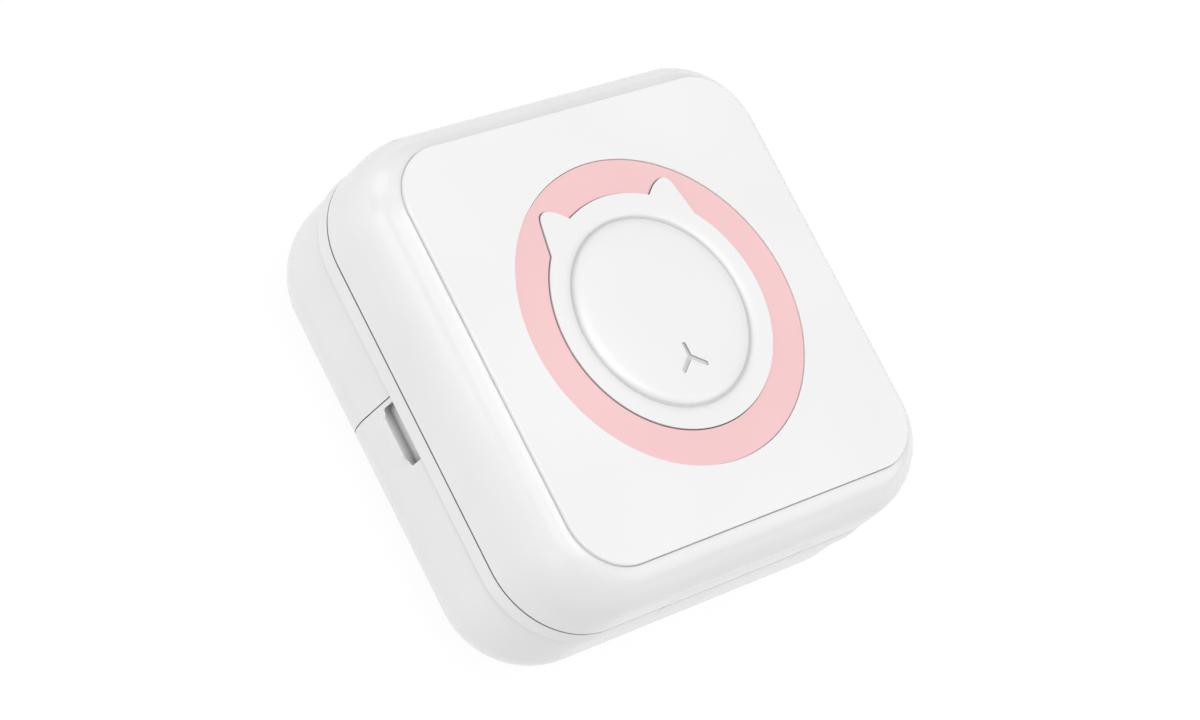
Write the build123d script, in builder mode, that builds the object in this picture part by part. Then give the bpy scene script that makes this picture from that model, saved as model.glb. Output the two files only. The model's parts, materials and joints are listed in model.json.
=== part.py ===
"""Pocket thermal printer with a domed two-eared button and a hinged paper cover.

The printer lies on its back: +Z points out of its face, +Y towards the ears of the button and
the paper slot, -Y towards the cover's hinge. The origin is under the middle, at the back face.
All lengths are in millimetres.
"""

import os
from math import acos, atan2, cos, degrees, hypot, pi, radians, sin, sqrt, tan

from build123d import *

os.makedirs("parts", exist_ok=True)

# Paper roll and its bay: the roll sets the printer's width, length and depth
roll_width = 57.0
roll_radius = 15.0
core_radius = 6.5
core_wall = 1.0
bay_gap = 1.4
bay_wall = 1.2
bay_end_gap = 1.3
under_roll_gap = 0.8
cradle_gap = 0.3
cradle_rib = 1.2
cradle_rib_height = 5.0

# Outer body
side_room = 14.0
mechanism_room = 55.0
hinge_room = 9.5
seam_room = 8.3
band_drop = 6.7
corner_radius = 15.4
front_depth = 15.5
band_height = 2.9
band_depth = 3.0
deck_thickness = 1.5
front_wall = 1.8
roof_thickness = 3.0
roof_inner_radius = 6.0
front_draft = 0.35
front_edge_in = 7.1
front_edge_down = 9.7
rear_inset = 0.4
rear_wall = 1.6
rear_edge_radius = 14.0

# Seams between the mouldings
seam_depth = 0.7
seam_gap = 0.2
locating_lip = 1.5
locating_gap = 0.15
cover_seam_gap = 0.35
cover_top_gap = 0.35

# Face panel, coloured ring and button
panel_border = 5.6
panel_corner_radius = 9.7
panel_thickness = 1.0
panel_proud = 0.3
panel_edge_round = 0.35
panel_gap = 0.12
ring_width = 6.1
ring_thickness = 1.0
ring_recess = 0.3
ring_gap = 0.08
button_radius = 21.0
button_gap = 0.15
button_travel = 0.6
button_thickness = 1.0
button_edge_round = 0.3
button_pocket_radius = 25.0
groove_radius = 16.7
groove_depth = 0.5
dome_height = 0.6
skirt_radius = 18.2
skirt_thickness = 1.2
skirt_length = 2.9
skirt_gap = 0.25
catch_reach = 0.9
catch_width = 5.0
ear_drawn_radius = 21.0
ear_start = (8.8, 19.05)
ear_bow = (10.8, 20.55)
ear_crown = (12.6, 21.1)
ear_tip = (13.75, 20.75)
ear_turn = (14.3, 19.7)
ear_side = (15.0, 16.8)
ear_foot = (15.6, 14.0)
ear_root = (9.0, 9.0)
mark_width = 0.6
mark_y = -8.8
mark_stem = 2.1
mark_arm = 3.1
mark_arm_angle = 38.0
mark_depth = 0.25
guide_foot = 0.9

# Cover hinge
hinge_width = 29.6
hinge_side_gap = 0.15
hinge_radius = 1.6
hinge_above_split = 3.2
hinge_top_gap = 0.25
hinge_back_gap = 0.4
hinge_pin_radius = 0.75
running_gap = 0.05
hinge_boss_width = 5.0
hinge_pin_hold = 4.2
tongue_recess = 0.15
tongue_thickness = 1.6

# Finger recess and lip in the cover's side walls
grip_from_seam = 6.0
grip_length = 10.2
grip_height = 3.25
grip_depth = 1.5
grip_corner = 0.7
lip_length = 8.2
lip_reach = 0.7
lip_drop = 4.8
lip_root = 1.2

# Tabs that find the deck as the cover shuts
tab_thickness = 1.3
tab_width = 5.0
tab_reach = 2.1
tab_gap = 0.2

# Printing mechanism
platen_from_wall = 11.5
platen_above_split = 3.2
platen_radius = 4.2
platen_end_room = 0.5
platen_core_radius = 2.6
shaft_radius = 1.5
bush_radius = 2.5
bush_flange = 0.3
plate_thickness = 1.5
plate_end_gap = 0.6
plate_behind_platen = 7.2
paper_gap = 0.15
motor_before_platen = 9.0
motor_below_platen = 9.5
motor_radius = 6.5
motor_length = 14.6
motor_shaft_radius = 0.75
fine_module = 0.4
coarse_module = 0.5
pinion_teeth = 12
wheel_teeth = 30
small_teeth = 12
platen_teeth = 24
pressure_angle = 25.0
gear_backlash = 0.06
gear_width = 1.6
gear_gap = 0.4
post_radius = 0.9
post_collar_radius = 1.6
head_thickness = 0.8
sink_thickness = 2.0
sink_depth = 10.8
bridge_thickness = 1.0
bridge_depth = 6.0
trunnion_radius = 0.9
leaf_thickness = 0.25
leaf_half_span = 8.0
leaf_width = 5.0
leaf_place = 15.0
tear_bar_thickness = 0.5
tear_bar_depth = 2.6
tooth_pitch = 1.6
tooth_height = 0.8

# Electronics
board_thickness = 1.2
board_gap = 1.6
board_side_room = 2.5
board_end_room = 6.0
usb_width = 9.0
usb_height = 3.2
usb_depth = 7.3
usb_wall = 0.35
usb_recess = 0.9
usb_clearance = 0.15
switch_size = 6.0
switch_height = 1.3
switch_floor = 0.15
plunger_radius = 1.5
battery_height = 9.0
battery_side_room = 3.5
battery_gap = 1.8
battery_wall_room = 9.0
battery_pad_thickness = 1.6

# Fasteners
screw_radius = 0.8
screw_head_radius = 1.8
screw_head_height = 1.2
screw_recess_width = 0.4
board_screw_shank = 3.4
housing_screw_shank = 9.0
boss_radius = 2.4
boss_wall = 1.1
foot_thickness = 1.5

# Overall sizes and heights
body_width = roll_width + 2 * side_room
body_length = 2 * roll_radius + mechanism_room
half_width = body_width / 2
half_length = body_length / 2
roll_height = rear_wall + under_roll_gap + roll_radius
split_height = roll_height + roll_radius - band_drop
front_top = split_height + front_depth
roof_bottom = front_top - roof_thickness
band_bottom = split_height - band_height
deck_top = band_bottom + deck_thickness
front_wall_top = front_top - front_edge_down
front_edge_inset = front_draft + front_edge_in
panel_size = body_width - 2 * panel_border
panel_top = front_top + panel_proud
ring_outer_radius = button_radius + ring_width
panel_floor = panel_top - panel_thickness
ring_top = panel_top - ring_recess
ring_floor = ring_top - ring_thickness
button_bottom = panel_top - button_thickness
button_floor = button_bottom - button_travel - 0.2
skirt_bottom = button_bottom - skirt_length
hinge_y = -half_length + hinge_radius
hinge_height = split_height + hinge_above_split
cover_top = band_bottom - cover_top_gap
grip_bottom = cover_top - grip_height
platen_height = split_height + platen_above_split
paper_line = platen_height + platen_radius
motor_height = platen_height - motor_below_platen
board_top = roof_bottom - board_gap
board_bottom = board_top - board_thickness
post_end_height = board_top + switch_height + button_travel + 0.1

# Places along the printer's length
roll_y = -half_length + hinge_room + roll_radius
cover_seam_y = roll_y + roll_radius + seam_room
cover_edge_y = cover_seam_y - cover_seam_gap / 2
rear_edge_y = cover_seam_y + cover_seam_gap / 2
grip_y = cover_seam_y - grip_from_seam
platen_y = half_length - platen_from_wall
motor_y = platen_y - motor_before_platen
board_length = 2 * (roll_radius + board_end_room)
board_y = roll_y + 5.0
usb_y = roll_y - 2.0
bulkhead_y = rear_edge_y + rear_wall
battery_start = bulkhead_y + battery_gap
battery_end = half_length - battery_wall_room
battery_length = battery_end - battery_start
battery_y = (battery_start + battery_end) / 2

# Places across the printer's width
bay_radius = roll_radius + bay_gap
bay_outer_radius = bay_radius + bay_wall
bay_half = roll_width / 2 + bay_end_gap
platen_length = roll_width + 2 * platen_end_room
plate_inside = platen_length / 2 + plate_end_gap
plate_outside = plate_inside + plate_thickness
board_width = roll_width + 2 * board_side_room
board_edge = board_width / 2
battery_width = roll_width - 2 * battery_side_room
tab_x = half_width - band_depth - tab_gap - tab_thickness / 2

# Fastener places, as x and y of one side; the other side is mirrored
housing_screw_places = (
    (half_width - 8.5, -half_length + 11.5),
    (half_width - band_depth - boss_radius - 0.2, rear_edge_y + 8.5),
)
rear_screw_place = (bay_half + bay_wall + boss_radius + 0.1, rear_edge_y - boss_radius - 0.3)
board_screw_x = roll_width / 2 - 1.5
board_screw_places = (
    (board_screw_x, board_y - board_length / 2 + 3.0),
    (board_screw_x, board_y + board_length / 2 - 3.0),
)
mechanism_screw_place = (plate_inside - boss_radius + 0.8, bulkhead_y + boss_radius)


def both_sides(places):
    """The places and their mirror images, left of the middle."""
    return [(side * x, y) for x, y in places for side in (1, -1)]


def save(part, name):
    """Label a finished piece and write it to its file."""
    part.label = name
    export_step(part, f"parts/{name}.step")


def rear_tub(inset, floor):
    """Rounded tub form of the rear half, drawn in from the outline and standing on a floor."""
    with BuildPart() as tub:
        with BuildSketch(Plane.XY.offset(floor)):
            RectangleRounded(body_width - 2 * inset, body_length - 2 * inset, corner_radius - inset)
        extrude(amount=band_bottom - floor)
        fillet(tub.faces().sort_by(Axis.Z)[0].edges(), rear_edge_radius + rear_inset - inset)
    return tub.part


def ear_outline():
    """One ear on the button's outline: a bowed inner side, a round tip and a steep outer side."""
    grown = button_radius / ear_drawn_radius
    places = (ear_start, ear_bow, ear_crown, ear_tip, ear_turn, ear_side, ear_foot, ear_root)
    start, bow, crown, tip_top, turn, side, foot, root = [(x * grown, y * grown) for x, y in places]
    with BuildSketch(mode=Mode.PRIVATE) as ear:
        with BuildLine():
            inner = ThreePointArc(start, bow, crown)
            tip = ThreePointArc(inner @ 1, tip_top, turn)
            outer = ThreePointArc(tip @ 1, side, foot)
            Polyline(outer @ 1, root, inner @ 0)
        make_face()
    return ear.sketch


def button_outline(growth):
    """Round head with two ears, grown all round by a clearance."""
    with BuildSketch(mode=Mode.PRIVATE) as head:
        Circle(button_radius)
        add(ear_outline())
        add(mirror(ear_outline(), about=Plane.YZ))
        if growth > 0:
            offset(amount=growth)
    return head.sketch


def mark_outline(width):
    """Three short strokes that meet in a Y, each with round ends."""
    with BuildSketch(mode=Mode.PRIVATE) as mark:
        for angle, length in ((90, mark_stem), (-mark_arm_angle, mark_arm), (180 + mark_arm_angle, mark_arm)):
            reach = length / 2
            with Locations((reach * cos(radians(angle)), mark_y + reach * sin(radians(angle)))):
                SlotCenterToCenter(length, width, rotation=angle)
    return mark.sketch


def gear_outline(module, teeth, turn):
    """Involute gear outline around the origin, with one tooth's middle at the given angle."""
    pitch_radius = module * teeth / 2
    tip_radius = pitch_radius + 0.85 * module
    root_radius = pitch_radius - 1.15 * module
    base_radius = pitch_radius * cos(radians(pressure_angle))
    flank_radii = [max(base_radius, root_radius)]
    flank_radii += [flank_radii[0] + (tip_radius - flank_radii[0]) * step / 3 for step in (1, 2, 3)]
    involute_at_pitch = tan(radians(pressure_angle)) - radians(pressure_angle)
    half_tooth = pi / (2 * teeth) - gear_backlash / (2 * pitch_radius) + involute_at_pitch
    points = []
    for tooth in range(teeth):
        middle = radians(turn) + 2 * pi * tooth / teeth
        flank = []
        for radius in flank_radii:
            roll = acos(base_radius / radius)
            flank.append((radius, half_tooth - (tan(roll) - roll)))
        if base_radius > root_radius:
            flank.insert(0, (root_radius, flank[0][1]))
        for radius, spread in flank:
            points.append((radius * cos(middle - spread), radius * sin(middle - spread)))
        for radius, spread in reversed(flank):
            points.append((radius * cos(middle + spread), radius * sin(middle + spread)))
    with BuildSketch(mode=Mode.PRIVATE) as gear:
        with BuildLine():
            Polyline(points, close=True)
        make_face()
    return gear.sketch


# Gear train: the motor's pinion turns the wheel of the reduction gear, whose small gear turns
# the platen's gear. The reduction gear stands where both pairs keep their centre distances.
wheel_distance = fine_module * (pinion_teeth + wheel_teeth) / 2
platen_distance = coarse_module * (small_teeth + platen_teeth) / 2
span_y = platen_y - motor_y
span_z = platen_height - motor_height
span = hypot(span_y, span_z)
along = (wheel_distance**2 - platen_distance**2 + span**2) / (2 * span)
across = sqrt(wheel_distance**2 - along**2)
reduction_y = motor_y + (along * span_y + across * span_z) / span
reduction_height = motor_height + (along * span_z - across * span_y) / span
angle_platen_to_small = degrees(atan2(reduction_height - platen_height, reduction_y - platen_y))
angle_wheel_to_pinion = degrees(atan2(motor_height - reduction_height, motor_y - reduction_y))
wheel_start = plate_outside + gear_gap + 0.1
small_start = wheel_start + gear_width
platen_gear_start = small_start + gear_gap
post_end = platen_gear_start + gear_width + gear_gap + 0.1


# Front shell: swept round its outline, so that the soft edge keeps its oval section
with BuildPart() as front_shell:
    with BuildLine(Plane.XY.offset(split_height)) as rim_path:
        side = Line((0, -half_length), (half_width - corner_radius, -half_length))
        for length in (body_length, body_width, body_length):
            corner = JernArc(side @ 1, side % 1, corner_radius, 90)
            side = Line(corner @ 1, corner @ 1 + (corner % 1) * (length - 2 * corner_radius))
        corner = JernArc(side @ 1, side % 1, corner_radius, 90)
        Line(corner @ 1, (0, -half_length))
    rim_plane = Plane(origin=(0, -half_length, split_height), x_dir=(0, 1, 0), z_dir=(1, 0, 0))
    rim_height = front_top - split_height
    rim_depth = corner_radius - 3.0
    with BuildSketch(rim_plane):
        with BuildLine():
            Polyline(
                (front_edge_inset, rim_height),
                (rim_depth, rim_height),
                (rim_depth, 0),
                (0, 0),
                (front_draft, front_wall_top - split_height),
            )
            EllipticalCenterArc(
                (front_edge_inset, front_wall_top - split_height),
                front_edge_in,
                front_edge_down,
                start_angle=90,
                arc_size=90,
            )
        make_face()
    sweep(path=rim_path.line)
    with BuildSketch(Plane.XY.offset(split_height)):
        core_inset = rim_depth - 1.0
        RectangleRounded(
            body_width - 2 * core_inset, body_length - 2 * core_inset, corner_radius - core_inset
        )
    extrude(amount=rim_height)
    with BuildPart(mode=Mode.PRIVATE) as front_cavity:
        with BuildSketch(Plane.XY.offset(split_height - 1)):
            RectangleRounded(
                body_width - 2 * front_wall, body_length - 2 * front_wall, corner_radius - front_wall
            )
        extrude(amount=roof_bottom - split_height + 1)
        fillet(front_cavity.faces().sort_by(Axis.Z)[-1].edges(), roof_inner_radius)
    add(front_cavity.part, mode=Mode.SUBTRACT)
    # Pockets for the panel, the ring and the button, and the hole for the button's skirt
    with BuildSketch(Plane.XY.offset(panel_floor)):
        pocket_size = panel_size + 2 * panel_gap
        RectangleRounded(pocket_size, pocket_size, panel_corner_radius + panel_gap)
    extrude(amount=panel_thickness, mode=Mode.SUBTRACT)
    for radius, floor in ((ring_outer_radius, ring_floor), (button_pocket_radius, button_floor)):
        with BuildSketch(Plane.XY.offset(floor)):
            Circle(radius)
        extrude(amount=panel_top - floor, mode=Mode.SUBTRACT)
    with BuildSketch(Plane.XY.offset(roof_bottom - 1)):
        Circle(skirt_radius + skirt_gap)
    extrude(amount=panel_top - roof_bottom, mode=Mode.SUBTRACT)
    # Screw bosses that stand on the deck, and short posts that hold the board
    with BuildSketch(Plane.XY.offset(deck_top)):
        with Locations(both_sides(housing_screw_places)):
            Circle(boss_radius)
    extrude(amount=roof_bottom + 0.5 - deck_top)
    with BuildSketch(Plane.XY.offset(deck_top)):
        with Locations(both_sides(housing_screw_places)):
            Circle(screw_radius)
    extrude(amount=9, mode=Mode.SUBTRACT)
    with BuildSketch(Plane.XY.offset(board_top)):
        with Locations(both_sides(board_screw_places)):
            Circle(boss_radius - 0.4)
    extrude(amount=roof_bottom + 0.5 - board_top)
    with BuildSketch(Plane.XY.offset(board_top)):
        with Locations(both_sides(board_screw_places)):
            Circle(screw_radius)
    extrude(amount=2.6, mode=Mode.SUBTRACT)
    # Cut-out for the cover's hinge, with a boss for the pin at each end
    cutout_half = hinge_width / 2 + hinge_side_gap
    cutout_top = hinge_height + hinge_radius + hinge_top_gap
    cutout_back = hinge_y + hinge_radius + hinge_back_gap
    for side in (1, -1):
        with BuildSketch(Plane.YZ.offset(side * cutout_half)):
            with BuildLine():
                Polyline(
                    (-half_length + 1.0, hinge_height - hinge_radius),
                    (cutout_back, hinge_height - hinge_radius),
                    (cutout_back, hinge_height + 1.6),
                    (-half_length + 1.0, hinge_height + 4.2),
                    close=True,
                )
            make_face()
        extrude(amount=side * hinge_boss_width)
    with BuildSketch(Plane.YZ.offset(-cutout_half)):
        with Locations(((-half_length + cutout_back) / 2 - 0.25, (split_height + cutout_top) / 2 - 0.5)):
            Rectangle(cutout_back + half_length + 0.5, cutout_top - split_height + 1.0)
    extrude(amount=2 * cutout_half, mode=Mode.SUBTRACT)
    with BuildSketch(Plane.YZ.offset(-cutout_half - hinge_pin_hold)):
        with Locations((hinge_y, hinge_height)):
            Circle(hinge_pin_radius)
    extrude(amount=2 * (cutout_half + hinge_pin_hold), mode=Mode.SUBTRACT)
    # Paper slot through the ears' side, with the ledge that backs the tear bar
    slot_half = platen_length / 2 + 0.25
    slot_bottom = paper_line - 0.8
    slot_top = paper_line + 1.1
    with BuildSketch(Plane.YZ.offset(-slot_half)):
        with Locations((half_length - 2.7, slot_top + tear_bar_thickness + 0.75)):
            Rectangle(2.8, 1.5)
    extrude(amount=2 * slot_half)
    with BuildSketch(Plane.YZ.offset(-slot_half)):
        with BuildLine():
            Polyline(
                (half_length - 4.5, slot_bottom),
                (half_length - 1.2, slot_bottom),
                (half_length + 1.0, slot_bottom - 1.6),
                (half_length + 1.0, slot_top + tear_bar_thickness),
                (half_length - 4.5, slot_top + tear_bar_thickness),
                close=True,
            )
        make_face()
    extrude(amount=2 * slot_half, mode=Mode.SUBTRACT)
    # Charging socket opening in the right wall
    with BuildSketch(Plane.YZ.offset(half_width - 3.0)):
        with Locations((usb_y, board_bottom - usb_height / 2)):
            RectangleRounded(
                usb_width + 2 * usb_clearance,
                usb_height + 2 * usb_clearance,
                usb_height / 2 + usb_clearance - 0.01,
            )
    extrude(amount=4.0, mode=Mode.SUBTRACT)
save(front_shell.part, "front_shell")


# Face panel: a flat plate let into the front shell, with a soft edge
with BuildPart() as face_panel:
    with BuildSketch(Plane.XY.offset(panel_floor)):
        RectangleRounded(panel_size, panel_size, panel_corner_radius)
    extrude(amount=panel_thickness)
    fillet(face_panel.faces().sort_by(Axis.Z)[-1].edges(), panel_edge_round)
    with BuildSketch(Plane.XY.offset(panel_floor)):
        Circle(ring_outer_radius)
    extrude(amount=panel_thickness, mode=Mode.SUBTRACT)
save(face_panel.part, "face_panel")


# Coloured ring: it lies a little below the panel and follows the ears of the button
with BuildPart() as accent_ring:
    with BuildSketch(Plane.XY.offset(ring_floor)):
        Circle(ring_outer_radius - ring_gap)
        add(button_outline(button_gap), mode=Mode.SUBTRACT)
    extrude(amount=ring_thickness)
save(accent_ring.part, "accent_ring")


# Button: a head with two ears, a raised rim, a soft groove and a low dome inside it
with BuildPart() as power_button:
    with BuildSketch(Plane.XY.offset(button_bottom)):
        add(button_outline(0))
    extrude(amount=button_thickness + dome_height + 0.1)
    with BuildSketch(Plane.XZ):
        groove_height = panel_top - groove_depth
        dome_top = panel_top + dome_height
        shoulder_height = panel_top + 0.22
        with BuildLine():
            rim = ThreePointArc(
                (groove_radius + 3.8, panel_top),
                (groove_radius + 1.8, panel_top - 0.13),
                (groove_radius, groove_height),
            )
            shoulder = ThreePointArc(
                rim @ 1,
                (groove_radius - 0.55, panel_top - 0.05),
                (groove_radius - 2.0, shoulder_height),
            )
            dome = ThreePointArc(
                shoulder @ 1,
                (groove_radius / 2, panel_top + 0.8 * dome_height),
                (0, dome_top),
            )
            Polyline(
                dome @ 1,
                (0, button_bottom - 0.1),
                (button_radius + 8, button_bottom - 0.1),
                (button_radius + 8, panel_top),
                rim @ 0,
            )
        make_face()
    revolve(axis=Axis.Z, mode=Mode.INTERSECT)
    rim_edges = power_button.edges().filter_by_position(Axis.Z, panel_top - 0.01, panel_top + 0.01)
    middle = Vertex(0, 0, panel_top)
    fillet([edge for edge in rim_edges if edge.distance_to(middle) > button_radius - 0.1], button_edge_round)
    # Skirt that slides in the roof, its three catches and the post over the switch
    with BuildSketch(Plane.XY.offset(skirt_bottom)):
        Circle(skirt_radius)
        Circle(skirt_radius - skirt_thickness, mode=Mode.SUBTRACT)
    extrude(amount=button_bottom - skirt_bottom)
    with BuildSketch(Plane.XY.offset(skirt_bottom)):
        with PolarLocations(0, 3, start_angle=30):
            with Locations((skirt_radius - skirt_thickness / 2, 0)):
                Rectangle(skirt_thickness / 2 + catch_reach, catch_width, align=(Align.MIN, Align.CENTER))
    extrude(amount=roof_bottom - 0.1 - skirt_bottom)
    with BuildSketch(Plane.XY.offset(post_end_height)):
        Circle(plunger_radius + 0.3)
    extrude(amount=button_bottom - post_end_height)
    with BuildSketch(Plane.XY.offset(button_bottom)):
        add(mark_outline(mark_width))
    extrude(amount=button_thickness + dome_height + 0.2, mode=Mode.SUBTRACT)
save(power_button.part, "power_button")


# Light guide under the mark: a foot below the button with three strokes that stop short of the top
with BuildPart() as light_guide:
    with BuildSketch(Plane.XY.offset(button_bottom - guide_foot)):
        with Locations((0, mark_y)):
            Circle(mark_arm + mark_width)
    extrude(amount=guide_foot)
    with BuildSketch(Plane.XY.offset(button_bottom)):
        add(mark_outline(mark_width))
    extrude(amount=button_thickness + 0.7 * dome_height - mark_depth)
save(light_guide.part, "light_guide")


# Push switch on the board, and its plunger
with BuildPart() as tact_switch:
    with BuildSketch(Plane.XY.offset(board_top)):
        RectangleRounded(switch_size, switch_size, 0.4)
    extrude(amount=switch_height)
    with BuildSketch(Plane.XY.offset(board_top + switch_floor)):
        Circle(plunger_radius + 0.1)
    extrude(amount=switch_height, mode=Mode.SUBTRACT)
save(tact_switch.part, "tact_switch")

with BuildPart() as switch_plunger:
    plunger_bottom = board_top + switch_floor + button_travel + 0.1
    with BuildSketch(Plane.XY.offset(plunger_bottom)):
        Circle(plunger_radius)
    extrude(amount=post_end_height - plunger_bottom)
save(switch_plunger.part, "switch_plunger")


with BuildPart() as status_led:
    with BuildSketch(Plane.XY.offset(board_top)):
        with Locations((0, mark_y)):
            Rectangle(1.6, 0.8)
    extrude(amount=0.6)
save(status_led.part, "status_led")


# Main board, with a tongue that reaches out under the charging socket
with BuildPart() as main_board:
    with BuildSketch(Plane.XY.offset(board_bottom)):
        with Locations((0, board_y)):
            RectangleRounded(board_width, board_length, 2.0)
        tongue_end = half_width - front_wall - roof_inner_radius / 2
        with Locations((board_edge - 2.0, usb_y)):
            Rectangle(tongue_end - board_edge + 2.0, usb_width + 3.0, align=(Align.MIN, Align.CENTER))
        with Locations(both_sides(board_screw_places)):
            Circle(screw_radius + 0.1, mode=Mode.SUBTRACT)
    extrude(amount=board_thickness)
save(main_board.part, "main_board")


def screw(place, seat, shank, head_up):
    """Pan-head screw: its head stands on the seat and its shank goes the other way."""
    direction = 1 if head_up else -1
    with BuildPart(mode=Mode.PRIVATE) as one:
        with BuildSketch(Plane.XY.offset(seat)):
            with Locations(place):
                Circle(screw_head_radius)
        extrude(amount=direction * screw_head_height)
        fillet(one.edges().sort_by(Axis.Z)[-1 if head_up else 0], 0.5)
        with BuildSketch(Plane.XY.offset(seat + direction * screw_head_height)):
            with Locations(place):
                Rectangle(screw_head_radius, screw_recess_width)
                Rectangle(screw_recess_width, screw_head_radius)
        extrude(amount=-direction * screw_head_height / 2, mode=Mode.SUBTRACT)
        with BuildSketch(Plane.XY.offset(seat)):
            with Locations(place):
                Circle(screw_radius)
        extrude(amount=-direction * shank)
    return one.part


with BuildPart() as board_screws:
    for place in both_sides(board_screw_places):
        add(screw(place, board_bottom, board_screw_shank, False))
save(board_screws.part, "board_screws")

with BuildPart() as housing_screws:
    for place in both_sides(housing_screw_places):
        add(screw(place, band_bottom, housing_screw_shank, False))
save(housing_screws.part, "housing_screws")


# Charging socket: a folded metal shell with a contact tongue inside
with BuildPart() as usb_port:
    usb_mouth = half_width - usb_recess
    usb_center = (usb_y, board_bottom - usb_height / 2)
    with BuildSketch(Plane.YZ.offset(usb_mouth - usb_depth)):
        with Locations(usb_center):
            RectangleRounded(usb_width, usb_height, usb_height / 2 - 0.01)
    extrude(amount=usb_depth)
    with BuildSketch(Plane.YZ.offset(usb_mouth - usb_depth + 1.0)):
        with Locations(usb_center):
            RectangleRounded(usb_width - 2 * usb_wall, usb_height - 2 * usb_wall, usb_height / 2 - usb_wall - 0.01)
    extrude(amount=usb_depth, mode=Mode.SUBTRACT)
    with BuildSketch(Plane.YZ.offset(usb_mouth - usb_depth + 0.5)):
        with Locations(usb_center):
            Rectangle(usb_width - 2.4, 0.7)
    extrude(amount=usb_depth - 1.2)
save(usb_port.part, "usb_port")


# Middle frame: the visible band, the deck inside it and the trough over the paper roll
with BuildPart() as middle_frame:
    with BuildSketch(Plane.XY.offset(band_bottom)):
        RectangleRounded(body_width, body_length, corner_radius)
    extrude(amount=band_height - seam_gap)
    with BuildSketch(Plane.XY.offset(split_height - seam_gap - 0.5)):
        RectangleRounded(
            body_width - 2 * seam_depth, body_length - 2 * seam_depth, corner_radius - seam_depth
        )
    extrude(amount=seam_gap + 0.5)
    # Lip that locates the front shell
    lip_inset = front_wall + locating_gap
    with BuildSketch(Plane.XY.offset(split_height - 1)):
        RectangleRounded(body_width - 2 * lip_inset, body_length - 2 * lip_inset, corner_radius - lip_inset)
    extrude(amount=1.0 + locating_lip)
    with BuildSketch(Plane.XY.offset(deck_top)):
        RectangleRounded(body_width - 2 * band_depth, body_length - 2 * band_depth, corner_radius - band_depth)
    extrude(amount=front_top - deck_top, mode=Mode.SUBTRACT)
    # Trough over the roll, with closed ends and a slot where the paper leaves
    with BuildSketch(Plane.YZ.offset(-bay_half - bay_wall)):
        with Locations((roll_y, roll_height)):
            Circle(bay_outer_radius)
        with Locations((roll_y, band_bottom - bay_outer_radius)):
            Rectangle(3 * bay_outer_radius, 2 * bay_outer_radius, mode=Mode.SUBTRACT)
    extrude(amount=2 * (bay_half + bay_wall))
    with BuildSketch(Plane.YZ.offset(-bay_half)):
        with Locations((roll_y, roll_height)):
            Circle(bay_radius)
    extrude(amount=2 * bay_half, mode=Mode.SUBTRACT)
    with BuildSketch(Plane.YZ.offset(-roll_width / 2 - 0.3)):
        with Locations((roll_y + bay_radius * 0.75, roll_height + bay_radius * 0.7)):
            Rectangle(bay_radius * 0.5, 3.6)
    extrude(amount=roll_width + 0.6, mode=Mode.SUBTRACT)
    # Opening for the motor and the gear train
    with BuildSketch(Plane.XY.offset(band_bottom)):
        gear_room_start = motor_y - motor_radius - gear_gap
        gear_room_end = reduction_y + fine_module * (wheel_teeth + 2) / 2 + 0.1
        with Locations((plate_inside - motor_length - 2.0, gear_room_start)):
            Rectangle(
                small_start + gear_gap - plate_inside + motor_length + 2.0,
                gear_room_end - gear_room_start,
                align=(Align.MIN, Align.MIN),
            )
        with Locations((small_start, reduction_y)):
            small_room = 2 * (coarse_module * (small_teeth + 2) / 2 + gear_gap)
            Rectangle(post_end + 0.3 - small_start, small_room, align=(Align.MIN, Align.CENTER))
        with Locations((0, platen_y)):
            Rectangle(2 * plate_inside, 2 * (platen_radius + 0.6))
    extrude(amount=deck_thickness, mode=Mode.SUBTRACT)
    with BuildSketch(Plane.YZ.offset(platen_gear_start - gear_gap)):
        with Locations((platen_y, platen_height)):
            Circle(coarse_module * (platen_teeth + 2) / 2 + gear_gap)
    extrude(amount=gear_width + 2 * gear_gap, mode=Mode.SUBTRACT)
    # Room for the cover's hinge
    with BuildSketch(Plane.XY.offset(band_bottom)):
        with Locations((0, (-half_length + cutout_back) / 2 - 0.25)):
            Rectangle(2 * cutout_half, cutout_back + half_length + 0.5)
    extrude(amount=band_height + 2.5, mode=Mode.SUBTRACT)
    # Slots for the tabs of the cover
    with BuildSketch(Plane.XY.offset(band_bottom)):
        with Locations(both_sides([(tab_x, grip_y)])):
            Rectangle(tab_thickness + 2 * tab_gap, tab_width + 7 * tab_gap)
    extrude(amount=deck_thickness, mode=Mode.SUBTRACT)
    # Bosses for the screws from below and from above, and their holes
    with BuildSketch(Plane.XY.offset(band_bottom)):
        with Locations(both_sides([rear_screw_place])):
            Circle(boss_radius - 0.2)
    extrude(amount=deck_thickness + 3.0)
    with BuildSketch(Plane.XY.offset(deck_top)):
        with Locations(both_sides([mechanism_screw_place])):
            Circle(boss_radius - 0.5)
    extrude(amount=-deck_thickness - 3.0)
    with BuildSketch(Plane.XY.offset(band_bottom - 3.2)):
        with Locations(both_sides([mechanism_screw_place, rear_screw_place])):
            Circle(screw_radius)
        with Locations(both_sides(housing_screw_places)):
            Circle(screw_radius + 0.1)
    extrude(amount=deck_thickness + 6.4, mode=Mode.SUBTRACT)
save(middle_frame.part, "middle_frame")


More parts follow.
